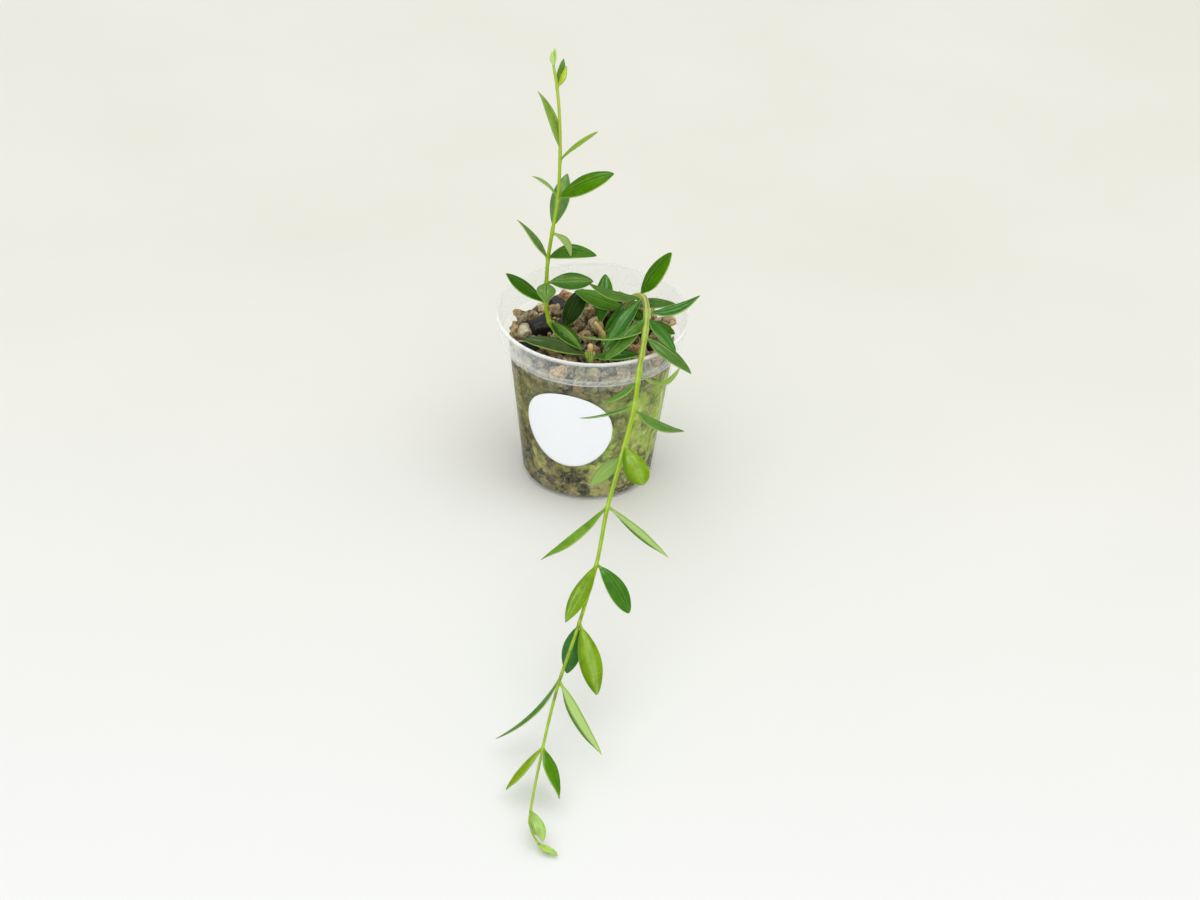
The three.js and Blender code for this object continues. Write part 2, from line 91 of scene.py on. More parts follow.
# Points along a stem, from its buried end to its tip. Its radius stays the same up to taper_from, a share of
# its length, and then falls to tip_radius. A leaf is (node, heading, rise, length, width, roll, arch, widest,
# point, age, look). It grows at that point, or between two of them, towards that heading and rise, turned by
# roll round its own line. Its middle stands above that line by arch, a share of its length. Widest is where
# its outline is widest and point is how drawn out its tip is. Age runs from 0, a bud, to 1.2, an old dark
# leaf. Its look says how it differs from the rest: hue from -1, bluish, to 1, yellowish, pale from 0 to 1,
# partly the leaf's own paleness and partly painted light shining through it, band from -1, painted shade
# down the middle, to 1, a painted highlight there, side, the edge on which shade is painted, -1 or 1, and
# fold, how far the edges bend down.
SHOOTS = {
    "upright_shoot": {
        "radius": 0.95, "tip_radius": 0.6, "taper_from": 0.1,
        "path": [
            (-11.8, -5.5, 42), (-11.8, -5.5, 50), (-12.1, -5, 58.2), (-15.4, -4, 63.9), (-16.9, -3, 70.8),
            (-16.9, -2.5, 79.3), (-16.6, -2, 88.6), (-15.4, -1.5, 99.6), (-13.8, -1, 113),
            (-13.4, -1, 130.4), (-14, -1.2, 146), (-15.1, -1.5, 157.4), (-16.5, -2, 166),
        ],
        "leaves": [
            (3, -50, -6.5, 19, 6.5, 5, 0.1, 0.45, 0.75, 1, {"painted_light_band": 0.45}),
            (4, 158, 28, 18, 5.6, -10, 0.03, 0.5, 0.75, 0.9, {}),
            (5, 10, -1, 17, 6.8, 32, 0.11, 0.5, 0.75, 0.9, {"hue": -0.2, "pale": 0.05, "painted_light_band": 0.4}),
            (5, -89, -14, 10, 7, -4, 0.15, 0.4, 0.9, 0.85, {"pale": 0.2, "fold": 0.7}),
            (6, 148, 41, 18, 5, 15, 0.06, 0.38, 1.1, 1.03, {"pale": 0.2, "fold": 0.5}),
            (6, -20, 19, 19.5, 6, 27, 0.25, 0.5, 0.65, 0.82, {"pale": 0.05, "painted_light_band": -0.4}),
            (7.1, 67, 56, 20.5, 7, 0, 0.06, 0.5, 0.75, 0.6, {"hue": -0.9, "pale": 0.2, "painted_light_band": 0.6}),
            (7, -60, -6, 14.5, 4.6, -92, 0.16, 0.66, 0.6, 1, {"hue": -0.1, "pale": 0.28, "fold": 0.6}),
            (8, 140, 20, 13, 4.5, 56, 0.12, 0.5, 0.9, 0.95, {"hue": -0.2, "pale": 0.3, "fold": 0.4}),
            (8, -8, 33, 23.5, 8.2, 30, 0.12, 0.52, 0.7, 0.76, {"hue": 0.1}),
            (9.1, 150, 65, 23, 4.6, 0, 0.11, 0.42, 1.1, 0.42, {"hue": -0.2, "pale": 0.18}),
            (8.9, -20, 47, 20, 5, -21, 0.04, 0.64, 0.65, 0.08, {"hue": 0.8, "painted_light_band": 0.2, "fold": 0.5}),
            (11, 20, 79, 11, 3, -80, 0.05, 0.5, 0.8, 0.75, {"hue": -1}),
            (11, -15, 70, 9.5, 3, 45, -0.02, 0.5, 0.8, 0.05, {}),
            (12, 60, 84, 6.5, 1.7, 0, 0.05, 0.45, 0.8, 0, {"pale": 0.55}),
            (12, -120, 78, 6, 1.6, 20, -0.05, 0.45, 0.8, 0, {"pale": 0.55}),
        ],
    },
    "trailing_shoot": {
        "radius": 1.3, "tip_radius": 0.36, "taper_from": 0.28,
        "path": [
            (12, 10, 42), (12, 10, 50), (12, 10, 57), (12, 9, 64.3), (15, 6.5, 69.5), (18, 3, 71.3),
            (19.5, -8.7, 72.1), (18.9, -22.2, 70.4), (17, -39.9, 65.2), (16.1, -51.4, 61.1),
            (12.6, -70.7, 54.2), (8.1, -92.5, 46.5), (5.1, -115, 38.6), (0.2, -137.3, 30.8),
            (-6, -160.6, 21.9), (-9.8, -182, 14.1), (-12.6, -203.2, 6.3), (-12.8, -207.2, 4.4),
            (-11.3, -211.3, 2.5), (-9.5, -213.7, 1.3),
        ],
        "leaves": [
            (2.7, -165, 27, 21.5, 7, -34, 0.06, 0.5, 0.7, 0.7, {"hue": -0.2, "pale": 0.05}),
            (3, 0, 4, 18, 6, 4, 0.06, 0.5, 0.75, 0.95, {"pale": 0.1}),
            (4.6, 19, 56, 20.2, 8.2, 16, 0.06, 0.42, 0.65, 0.72, {"painted_light_band": -0.3}),
            (5, -165, 22, 22, 5.5, -12, -0.08, 0.5, 0.75, 0.92, {"pale": 0.1, "fold": 0.6}),
            (5, -124, -24.3, 26.2, 5.8, -8, 0.08, 0.5, 0.75, 0.85, {"hue": -0.55, "painted_light_band": 0.3}),
            (6.2, -130, -19, 24, 6, -8, 0.06, 0.5, 0.75, 0.8, {"pale": 0.1}),
            (6, 12, 17, 20, 6.2, 0, -0.07, 0.42, 0.8, 0.78, {"hue": -0.3}),
            (6.2, -62, -5, 22, 5.5, -14, 0.04, 0.45, 0.75, 0.8, {"hue": -0.2}),
            (6.75, -165, 1, 23.5, 5, 35, -0.08, 0.5, 0.75, 0.92, {"pale": 0.15, "fold": 0.35}),
            (7, -44, -10, 23.5, 6.3, 0, 0.06, 0.42, 0.8, 0.9, {"pale": 0.12, "painted_light_band": -0.2}),
            (7.85, -25, 23, 17, 5, -33, -0.3, 0.5, 0.75, 0.45, {"pale": 0.1, "painted_light_band": 0.4, "fold": 0.35}),
            (8.15, -140, -14, 15, 5, 25, -0.04, 0.5, 0.8, 0.72, {"pale": 0.1, "fold": 0.5}),
            (9, -158, -4, 20.5, 5, 28, -0.05, 0.4, 0.7, 0.9, {"hue": -0.4, "pale": 0.12, "fold": 0.35}),
            (9.1, -22, -11, 19.5, 5.2, -4, -0.1, 0.45, 0.8, 0.88, {"pale": 0.15, "fold": 0.7}),
            (9.9, -66, -16, 17.5, 8.5, 4, 0.14, 0.7, 0.6, 0.42, {"painted_light_band": 0.6, "side": 0.7}),
            (10.1, -150, -34, 14, 6, 98, 0.06, 0.5, 0.75, 0.82, {"hue": -0.2, "pale": 0.2, "painted_light_band": 0.3}),
            (11, -153, -32, 29, 5.4, 10, -0.035, 0.5, 1.2, 0.6, {"hue": 0.1, "pale": 0.1}),
            (11, -35, -20.5, 27.5, 4.9, -78, 0.03, 0.45, 1, 0.5, {"pale": 0.5, "side": -1}),
            (12, -111, -13, 27, 6.1, 2, 0.03, 0.5, 0.8, 0.46, {"painted_light_band": 0.2, "side": 0.6}),
            (12, -48, -31, 20, 7, 8, 0.18, 0.6, 0.6, 0.7, {"hue": -0.3}),
            (13, -120, -67, 18, 7, 0, 0.08, 0.52, 0.7, 0.6, {"hue": -0.8}),
            (13, -67, -45, 24.5, 7.8, 0, 0.14, 0.52, 0.7, 0.46, {"painted_light_band": 0.9, "side": 0.6}),
            (13.8, -144, -32, 30, 5.5, 41, -0.09, 0.38, 0.9, 0.75, {"hue": -0.3, "pale": 0.1, "fold": 0.3}),
            (13.9, -57.5, -22, 29.5, 6.4, -104, 0, 0.4, 0.95, 0.2, {"pale": 0.55, "painted_light_band": 0.3, "side": -1}),
            (15, -135, -29, 18, 5.2, 31, 0.04, 0.5, 0.75, 0.4, {"hue": 0.15}),
            (15, -69, -24, 18.5, 5.6, -25, 0.08, 0.42, 1.2, 0.66, {}),
            (16.1, -72, -1, 14.5, 4.4, -20, 0.1, 0.5, 0.75, 0.47, {"pale": 0.5, "painted_light_band": 1}),
            (17, -60, 8, 8, 2.6, 10, -0.05, 0.5, 0.75, 0.3, {"hue": -0.3, "pale": 0.5}),
            (19, -40, 0, 8, 2.6, 0, 0.05, 0.5, 0.75, 0.2, {"pale": 0.8, "painted_light_band": 1}),
            (19, -52, 6, 6, 2, 0, 0.05, 0.5, 0.75, 0.1, {"pale": 0.4}),
        ],
    },
    "stub_cutting": {
        "radius": 1, "tip_radius": 1, "taper_from": 0,
        "path": [(4.3, -2.8, 47), (4.3, -2.8, 53), (4.1, -2.8, 58.5), (0.9, -3, 64)],
        "leaves": [
            (2, 45, 40, 14.5, 5, -16, 0.06, 0.5, 0.75, 0.95, {}),
        ],
    },
    "back_cutting": {
        "radius": 0.9, "tip_radius": 0.8, "taper_from": 0,
        "path": [(3.1, 2.2, 47), (3.1, 2.2, 53), (3.1, 2.2, 58.5), (3.2, 2.6, 60.5)],
        "leaves": [
            (2, 87, 33, 21.5, 7.2, -20, 0.06, 0.55, 0.7, 0.72, {"hue": -0.2}),
        ],
    },
    "middle_cutting": {
        "radius": 0.9, "tip_radius": 0.8, "taper_from": 0,
        "path": [(-10.2, -1.4, 47), (-10.2, -1.4, 53), (-10.4, -1.8, 59), (-10.6, -1.7, 61)],
        "leaves": [
            (2, 56, 44, 17, 8, 2, 0.08, 0.5, 0.6, 1.2, {}),
        ],
    },
    "front_cutting": {
        "radius": 1.1, "tip_radius": 1.1, "taper_from": 0,
        "path": [(0.4, -17, 47), (0.4, -17, 53), (0, -17.3, 57.5), (-0.3, -17.2, 63.5)],
        "leaves": [
            (2, 173, 11, 25.5, 6.5, -10, 0.12, 0.5, 0.7, 1.15, {"pale": 0.08, "fold": 1.6}),
            (2, 155, 14, 16, 4.5, 0, 0.08, 0.5, 0.75, 1.15, {}),
            (2, -12, 15, 18.5, 5.5, 6, 0.06, 0.5, 0.75, 0.85, {"hue": -0.2}),
            (2, -130, 50, 5, 2.2, -60, 0, 0.5, 0.75, 0.2, {}),
        ],
    },
    "right_cutting": {
        "radius": 0.9, "tip_radius": 0.8, "taper_from": 0,
        "path": [(19.2, 5.5, 47), (19.2, 5.5, 53), (19, 5.2, 57), (18.8, 4.8, 60)],
        "leaves": [
            (3, -34, 0, 13.5, 6, 12, 0.08, 0.5, 0.7, 0.88, {}),
            (3, 150, 31, 7, 5, -12, 0.1, 0.5, 0.75, 0.97, {}),
        ],
    },
}

# Chunks of bark: the place of the middle, the size, the turn about Z and the tilt.
BARK = [
    ((-18.8, 2.6, 56.5), (9.5, 6.5, 9), 35, 12),
    ((-22.5, -9.5, 56), (7, 5, 5), -20, -15),
    ((-10.8, 7, 56), (6, 4.5, 5), 70, 20),
    ((6, 9.5, 57), (6.5, 4.5, 5), 10, -18),
    ((22.5, -6.5, 56.5), (8, 5, 5.5), -55, 15),
    ((10.5, -6.5, 56), (6, 4.5, 5), 40, 10),
    ((12.5, 20, 56.5), (7, 5, 5.5), 25, 10),
    ((-13, 20, 56), (7.5, 5, 5), -40, -12),
]

# The camera that fits the photograph, for a frame of 1200 by 900: its place, how far it looks down and how
# far it is rolled, in degrees, and its focal length in pixels.
CAMERA = {"place": (4.7, -933.9, 648.8), "down": 34.54, "roll": 2.33, "focal_px": 3044, "frame_px": 1200}


def linear(colour):
    """A linear colour from one given as 0 to 255. A node's output stays as it is."""
    def one(value):
        share = value / 255
        return share / 12.92 if share <= 0.04045 else ((share + 0.055) / 1.055) ** 2.4

    if isinstance(colour, bpy.types.NodeSocket):
        return colour
    return (*(one(value) for value in colour), 1)


def wall_radius(z):
    """The outer radius of the pot at a height."""
    in_wall = POT["foot_radius"] + (POT["neck_radius"] - POT["foot_radius"]) * z / NECK
    flare = POT["rim_radius"] - POT["collar_foot_radius"]
    in_collar = POT["collar_foot_radius"] + flare * (z - NECK) / POT["collar_height"]
    return in_collar if z > NECK else in_wall


# Mesh helpers.

def placed(name, data):
    """An object with that data, in the scene."""
    made = bpy.data.objects.new(name, data)
    bpy.context.scene.collection.objects.link(made)
    return made


def add_piece(name, verts, faces, material, nodes, attributes=None, smooth=True):
    """A piece of the part, from vertices in millimetres, that rides on the root body."""
    mesh = bpy.data.meshes.new(name)
    mesh.from_pydata((np.asarray(verts, float) * MM).tolist(), [], [tuple(int(i) for i in f) for f in faces])
    for key, values in (attributes or {}).items():
        made = mesh.attributes.new(key, "FLOAT_VECTOR", "POINT")
        made.data.foreach_set("vector", np.asarray(values, np.float32).ravel())
    mesh.polygons.foreach_set("use_smooth", [smooth] * len(mesh.polygons))
    mesh.materials.append(material)
    mesh.update()
    piece = placed(name, mesh)
    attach(piece, "root")
    if nodes:
        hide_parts(*nodes)
    return piece


class Parts:
    """Gathers meshes, with their attributes, into one."""

    def __init__(self):
        self.verts = []
        self.faces = []
        self.attributes = {}
        self.count = 0

    def add(self, verts, faces, **attributes):
        self.verts.append(np.asarray(verts, float))
        self.faces.extend([[i + self.count for i in face] for face in faces])
        for key, values in attributes.items():
            self.attributes.setdefault(key, []).append(np.asarray(values, float))
        self.count += len(verts)

    def add_tinted(self, verts, faces, tint):
        self.add(verts, faces, tint=np.tile(tint, (len(verts), 1)))

    def add_closed(self, rings, flipped=False, **attributes):
        """Adds a skin of rings and closes its two ends with a fan round a middle vertex."""
        around = len(rings[0])
        verts = np.concatenate(rings)
        count = len(verts)
        faces = ring_faces(len(rings), around)
        ends = [range(around)[::-1], range(count - around, count)]
        if flipped:
            faces = faces[:, ::-1]
            ends = [end[::-1] for end in ends]
        fans = []
        for k, end in enumerate(ends):
            fans += [(end[i], end[(i + 1) % around], count + k) for i in range(around)]
        attributes = {key: with_middles(np.concatenate(rows), ends) for key, rows in attributes.items()}
        self.add(with_middles(verts, ends), [*faces.tolist(), *fans], **attributes)

    def piece(self, name, material, slot, nodes, smooth=True):
        joined = {key: np.concatenate(values) for key, values in self.attributes.items()}
        add_piece(name, np.concatenate(self.verts), self.faces, material, nodes, joined, smooth)


def with_middles(rows, ends):
    """Rows of numbers, followed by the mean of each end's rows."""
    return np.vstack([rows, *(np.mean(rows[list(end)], axis=0) for end in ends)])


def ring_faces(rings, around, closed=False):
    """Quads of a skin of rings. Where it is closed, the last ring joins the first."""
    index = np.arange(rings * around).reshape(rings, around)
    low, high = (index, np.roll(index, -1, 0)) if closed else (index[:-1], index[1:])
    return np.stack([low, np.roll(low, -1, 1), np.roll(high, -1, 1), high], -1).reshape(-1, 4)


def ring_round(place, along, reference, radius, around):
    """A ring of points square to a direction, with one radius for all of them or one for each."""
    across = np.cross(reference, along)
    across /= np.linalg.norm(across)
    third = np.cross(across, along)
    angles = np.linspace(0, 2 * np.pi, around, endpoint=False)
    return place + np.outer(np.cos(angles) * radius, across) + np.outer(np.sin(angles) * radius, third)


def polar(out, angle, z):
    return (out * math.cos(angle), out * math.sin(angle), z)


def lathe(outline, around):
    """Vertices of an outline of (radius, z) turned about Z."""
    angles = np.linspace(0, 2 * np.pi, around, endpoint=False)
    return np.array([polar(r, a, z) for r, z in outline for a in angles])


def ball(subdivisions):
    """Unit vertices and triangles of an icosphere."""
    made = bmesh.new()
    bmesh.ops.create_icosphere(made, subdivisions=subdivisions, radius=1)
    return read_mesh(made)


def read_mesh(made):
    """The vertices and faces of a bmesh, which is then freed."""
    verts = np.array([v.co[:] for v in made.verts])
    faces = [[v.index for v in f.verts] for f in made.faces]
    made.free()
    return verts, faces


def spline(points, share):
    """A point and the direction at a share of a centripetal curve through the points."""
    points = np.asarray(points, float)
    spans = len(points) - 1
    span = min(int(share * spans), spans - 1)
    weight = share * spans - span
    first, second = points[span], points[span + 1]
    before = points[span - 1] if span > 0 else 2 * first - second
    after = points[span + 2] if span + 2 <= spans else 2 * second - first
    steps = [first - before, second - first, after - second]
    d0, d1, d2 = (np.linalg.norm(step) ** 0.5 for step in steps)
    t0 = ((first - before) / d0 - (second - before) / (d0 + d1) + (second - first) / d1) * d1
    t1 = ((second - first) / d1 - (after - first) / (d1 + d2) + (after - second) / d2) * d1
    a, b = 2 * first - 2 * second + t0 + t1, -3 * first + 3 * second - 2 * t0 - t1
    place = ((a * weight + b) * weight + t0) * weight + first
    along = (3 * a * weight + 2 * b) * weight + t0
    return place, along / np.linalg.norm(along)


# Shader helpers. A value is a plain number or another node's output, and a plain colour is 0 to 255.

def feed(socket, value):
    """Links another node's output to a socket, or sets a plain value on it."""
    if isinstance(value, bpy.types.NodeSocket):
        socket.id_data.links.new(value, socket)
    else:
        socket.default_value = value


def add(tree, kind, inputs=None, **settings):
    """A node of that kind, with its settings and inputs."""
    made = tree.nodes.new(kind)
    for key, value in settings.items():
        setattr(made, key, value)
    for key, value in (inputs or {}).items():
        feed(made.inputs[key], value)
    return made


def tree_of(*values):
    """The node tree of the outputs among these values."""
    return next(value.id_data for value in values if isinstance(value, bpy.types.NodeSocket))


def wire(shader, **inputs):
    """Feeds a shader's sockets, written with _ for a space."""
    for key, value in inputs.items():
        feed(shader.inputs[key.replace("_", " ")], value)


def new_material(name, **plain):
    """A material, its node tree and its main shader, with plain values on that shader's sockets."""
    material = bpy.data.materials.new(name)
    material.use_nodes = True
    shader = material.node_tree.nodes["Principled BSDF"]
    wire(shader, **plain)
    return material, material.node_tree, shader


def mixed(share, a, b, blend="MIX"):
    """The colour between a and b."""
    inputs = {0: share, 6: linear(a), 7: linear(b)}
    return add(tree_of(share, a, b), "ShaderNodeMix", inputs, data_type="RGBA", blend_type=blend).outputs[2]


def washed(colour, *layers):
    """A colour with layers of (share, colour) laid over it in turn."""
    for share, tint in layers:
        colour = mixed(share, colour, tint)
    return colour


def scaled(colour, shade):
    inputs = {0: colour, "Scale": shade}
    return add(tree_of(colour), "ShaderNodeVectorMath", inputs, operation="SCALE").outputs[0]


def reckoned(operation, a, b=0.0, clamp=False):
    return add(tree_of(a, b), "ShaderNodeMath", {0: a, 1: b}, operation=operation, use_clamp=clamp).outputs[0]


def times(a, b, clamp=False):
    return reckoned("MULTIPLY", a, b, clamp)


def plus(a, b, clamp=False):
    return reckoned("ADD", a, b, clamp)


def ranged(value, low, high, to_low=0.0, to_high=1.0):
    """The value carried from one range to another, held at its ends."""
    inputs = {"Value": value, "From Min": low, "From Max": high, "To Min": to_low, "To Max": to_high}
    return add(tree_of(value), "ShaderNodeMapRange", inputs).outputs["Result"]


def ramp(value, *stops):
    """A colour from a value, by stops of (place, colour)."""
    made = add(tree_of(value), "ShaderNodeValToRGB", {"Fac": value})
    colours = made.color_ramp.elements
    while len(colours) < len(stops):
        colours.new(0.5)
    for element, (place, colour) in zip(colours, stops):
        element.position = place
        element.color = linear(colour)
    return made.outputs["Color"]


def grain(tree, scale, detail=3.0, rough=0.5, stretch=None, distortion=0.0):
    """Noise at a scale per metre in the part's own coordinates."""
    place = add(tree, "ShaderNodeTexCoord").outputs["Object"]
    if stretch:
        place = add(tree, "ShaderNodeVectorMath", {0: place, 1: stretch}, operation="MULTIPLY").outputs[0]
    inputs = {"Vector": place, "Scale": scale, "Detail": detail, "Roughness": rough, "Distortion": distortion}
    return add(tree, "ShaderNodeTexNoise", inputs).outputs["Fac"]


def split(tree, kind, output, **settings):
    """The three numbers of a vector that a node gives."""
    vector = add(tree, kind, **settings).outputs[output]
    return add(tree, "ShaderNodeSeparateXYZ", {"Vector": vector}).outputs


def place_of(tree, output="Object"):
    return split(tree, "ShaderNodeTexCoord", output)


def attribute(tree, name):
    """The three numbers of a mesh attribute."""
    return split(tree, "ShaderNodeAttribute", "Vector", attribute_name=name)


def bump(height, distance, strength=1.0):
    inputs = {"Height": height, "Distance": distance, "Strength": strength}
    return add(tree_of(height), "ShaderNodeBump", inputs).outputs["Normal"]


# Materials.

def leaf_material():
    """Waxy leaf: a glossy upper face with a grooved midrib and pale margins, and a paler underside."""
    material, tree, shader = new_material(
        "waxy_leaf", Subsurface_Weight=0.04, Subsurface_Radius=(0.4, 0.9, 0.15), Subsurface_Scale=0.001,
        Specular_IOR_Level=0.01, Coat_Weight=0.1, Coat_Roughness=0.14, IOR=1.45)
    across, along, under = attribute(tree, "leaf")
    age, hue, painted_light_band = attribute(tree, "growth")
    pale, side, _ = attribute(tree, "wash")
    plain = washed(
        ramp(
            ranged(age, 0, 1.2), (0, (204, 222, 72)), (0.17, (158, 192, 42)), (0.33, (128, 160, 24)),
            (0.5, (86, 138, 6)), (0.67, (56, 112, 2)), (0.83, (46, 90, 8)), (1, (32, 52, 16))),
        (ranged(hue, -1, 0, 0.8, 0), (44, 104, 66)),
        (ranged(hue, 0, 1, 0, 0.8), (140, 180, 16)),
        # pale: partly the leaf's own paleness, partly painted light shining through it.
        (pale, (190, 224, 136)))
    beside = reckoned("ABSOLUTE", across)
    middle = ranged(beside, 0.05, 0.55, 1, 0)
    rib = ranged(beside, 0.02, 0.09, 1, 0)
    # Painted highlight: pale strips either side of the midrib.
    painted_flank_sheen = times(ranged(beside, 0.05, 0.12), ranged(beside, 0.14, 0.3, 0.16, 0))
    grown = times(ranged(age, 0.6, 0.85, 0.3, 1), ranged(age, 1.05, 1.18, 1, 0.3))
    upper = washed(
        plain,
        # Painted light down the middle: a painted highlight where band is above 0, painted shade where it is
        # below.
        (times(middle, ranged(painted_light_band, 0, 1, 0, 0.6)), (176, 212, 108)),
        (times(middle, ranged(painted_light_band, -1, 0, 0.7, 0)), (26, 66, 8)),
        # Painted shade: a dark line in the midrib's groove on grown leaves.
        (times(times(rib, grown), 0.3), (20, 52, 6)),
        (times(painted_flank_sheen, grown), (170, 206, 110)))
    blotch = ranged(grain(tree, 220, 5, 0.62, None, 0.6), 0.35, 0.7, 0.78, 1.16)
    fine = ranged(grain(tree, 1500, 3, 0.6), 0.3, 0.7, 0.9, 1.1)
    # Painted shade on the half of the blade towards the edge that side picks, on both faces.
    ragged = plus(times(across, side), ranged(fine, 0.9, 1.1, -0.05, 0.05))
    painted_shade_side = (ranged(ragged, 0.4, 0.75, 0, 0.85), (58, 110, 24))
    upper = washed(
        scaled(upper, times(blotch, fine)),
        (ranged(beside, 0.935, 0.975, 0, 0.85), (170, 200, 104)),
        painted_shade_side)
    lower = washed(
        plain,
        (0.45, (150, 186, 84)),
        # More pale on the underside: partly its own paleness, partly painted light shining through it.
        (times(pale, 0.85), (222, 250, 168)),
        (ranged(beside, 0.84, 0.98, 0, 0.7), (60, 112, 24)),
        (times(rib, 0.4), (190, 216, 120)),
        painted_shade_side)
    stalk = ranged(along, 0.03, 0.13, 0.8, 0)
    matt = ranged(grain(tree, 500, 3), 0.3, 0.7, -0.05, 0.07)
    wire(
        shader, Base_Color=mixed(stalk, mixed(under, upper, lower), (140, 178, 40)),
        Roughness=plus(ranged(under, 0, 1, 0.36, 0.55), matt),
        Normal=bump(grain(tree, 600, 4, 0.6), 0.00012, 0.45))
    return material


def stem_material():
    """Green stem, paler and streaked lengthwise where it is old, tan where it is a dry cut stub."""
    material, tree, shader = new_material(
        "green_stem", Subsurface_Weight=0.06, Subsurface_Radius=(0.5, 0.9, 0.15), Subsurface_Scale=0.001,
        Specular_IOR_Level=0.08, Coat_Weight=0.08, Coat_Roughness=0.3)
    old, dry, line = attribute(tree, "growth")
    swell, flush, light = attribute(tree, "joint")
    fresh = washed(
        mixed(grain(tree, 160, 4), (160, 192, 18), (120, 160, 12)),
        (ranged(line, 0.3, 0.9, 0, 0.35), (178, 200, 60)),
        (light, (206, 222, 112)),
        (times(flush, ranged(grain(tree, 220, 4), 0.4, 0.6), True), (104, 104, 34)))
    worn = mixed(ranged(line, 0.35, 0.65), (136, 148, 70), (188, 192, 122))
    green = washed(
        mixed(old, fresh, worn),
        (times(ranged(grain(tree, 1400, 2), 0.62, 0.72, 0, 0.6), old), (106, 96, 56)),
        (times(swell, 0.45), (176, 200, 84)))
    tan = mixed(grain(tree, 500, 4, 0.65), (250, 214, 160), (180, 136, 84))
    height = plus(times(line, old), grain(tree, 900, 3))
    wire(
        shader, Base_Color=mixed(dry, green, tan), Roughness=ranged(old, 0, 1, 0.4, 0.6),
        Normal=bump(height, 0.00012, 0.6))
    return material


def pumice_material():
    """Porous grain, each of its own colour, mottled, with painted shade in its pores and painted glints."""
    material, tree, shader = new_material("pumice_grain", Specular_IOR_Level=0.1)
    colour = add(tree, "ShaderNodeAttribute", attribute_name="tint").outputs["Vector"]
    mottle = grain(tree, 520, 6, 0.7)
    pores = grain(tree, 1700, 4, 0.7)
    painted_glints = grain(tree, 2600, 3, 0.6)
    colour = mixed(ranged(mottle, 0.42, 0.66, 0, 0.6), colour, (242, 228, 184))
    colour = mixed(ranged(mottle, 0.32, 0.46, 0.55, 0), colour, (120, 92, 66), "MULTIPLY")
    # Painted shade in the pores, where the bump sinks.
    colour = mixed(ranged(pores, 0.36, 0.46, 0.9, 0), colour, (74, 54, 38), "MULTIPLY")
    # Painted glints: tiny bright specks.
    colour = mixed(ranged(painted_glints, 0.62, 0.7, 0, 0.5), colour, (250, 240, 206))
    height = plus(ranged(pores, 0.25, 0.5), times(grain(tree, 5200, 3), 0.35))
    wire(
        shader, Base_Color=colour, Roughness=ranged(mottle, 0.3, 0.7, 0.85, 1),
        Normal=bump(height, 0.0005, 0.9))
    return material


def soil_material():
    """Damp dark crumbs between and behind the grains."""
    material, tree, shader = new_material("damp_crumbs", Specular_IOR_Level=0.25)
    crumbs = grain(tree, 900, 5, 0.7)
    colour = ramp(crumbs, (0.3, (6, 5, 4)), (0.5, (24, 20, 14)), (0.7, (66, 54, 38)))
    _, _, z = place_of(tree)
    moss = times(ranged(grain(tree, 150, 4, 0.6), 0.4, 0.6), ranged(z, 0.046, 0.053, 0.8, 0))
    wire(
        shader, Base_Color=mixed(moss, colour, (96, 108, 48)),
        Roughness=ranged(crumbs, 0.3, 0.7, 0.6, 0.95), Normal=bump(crumbs, 0.001))
    return material


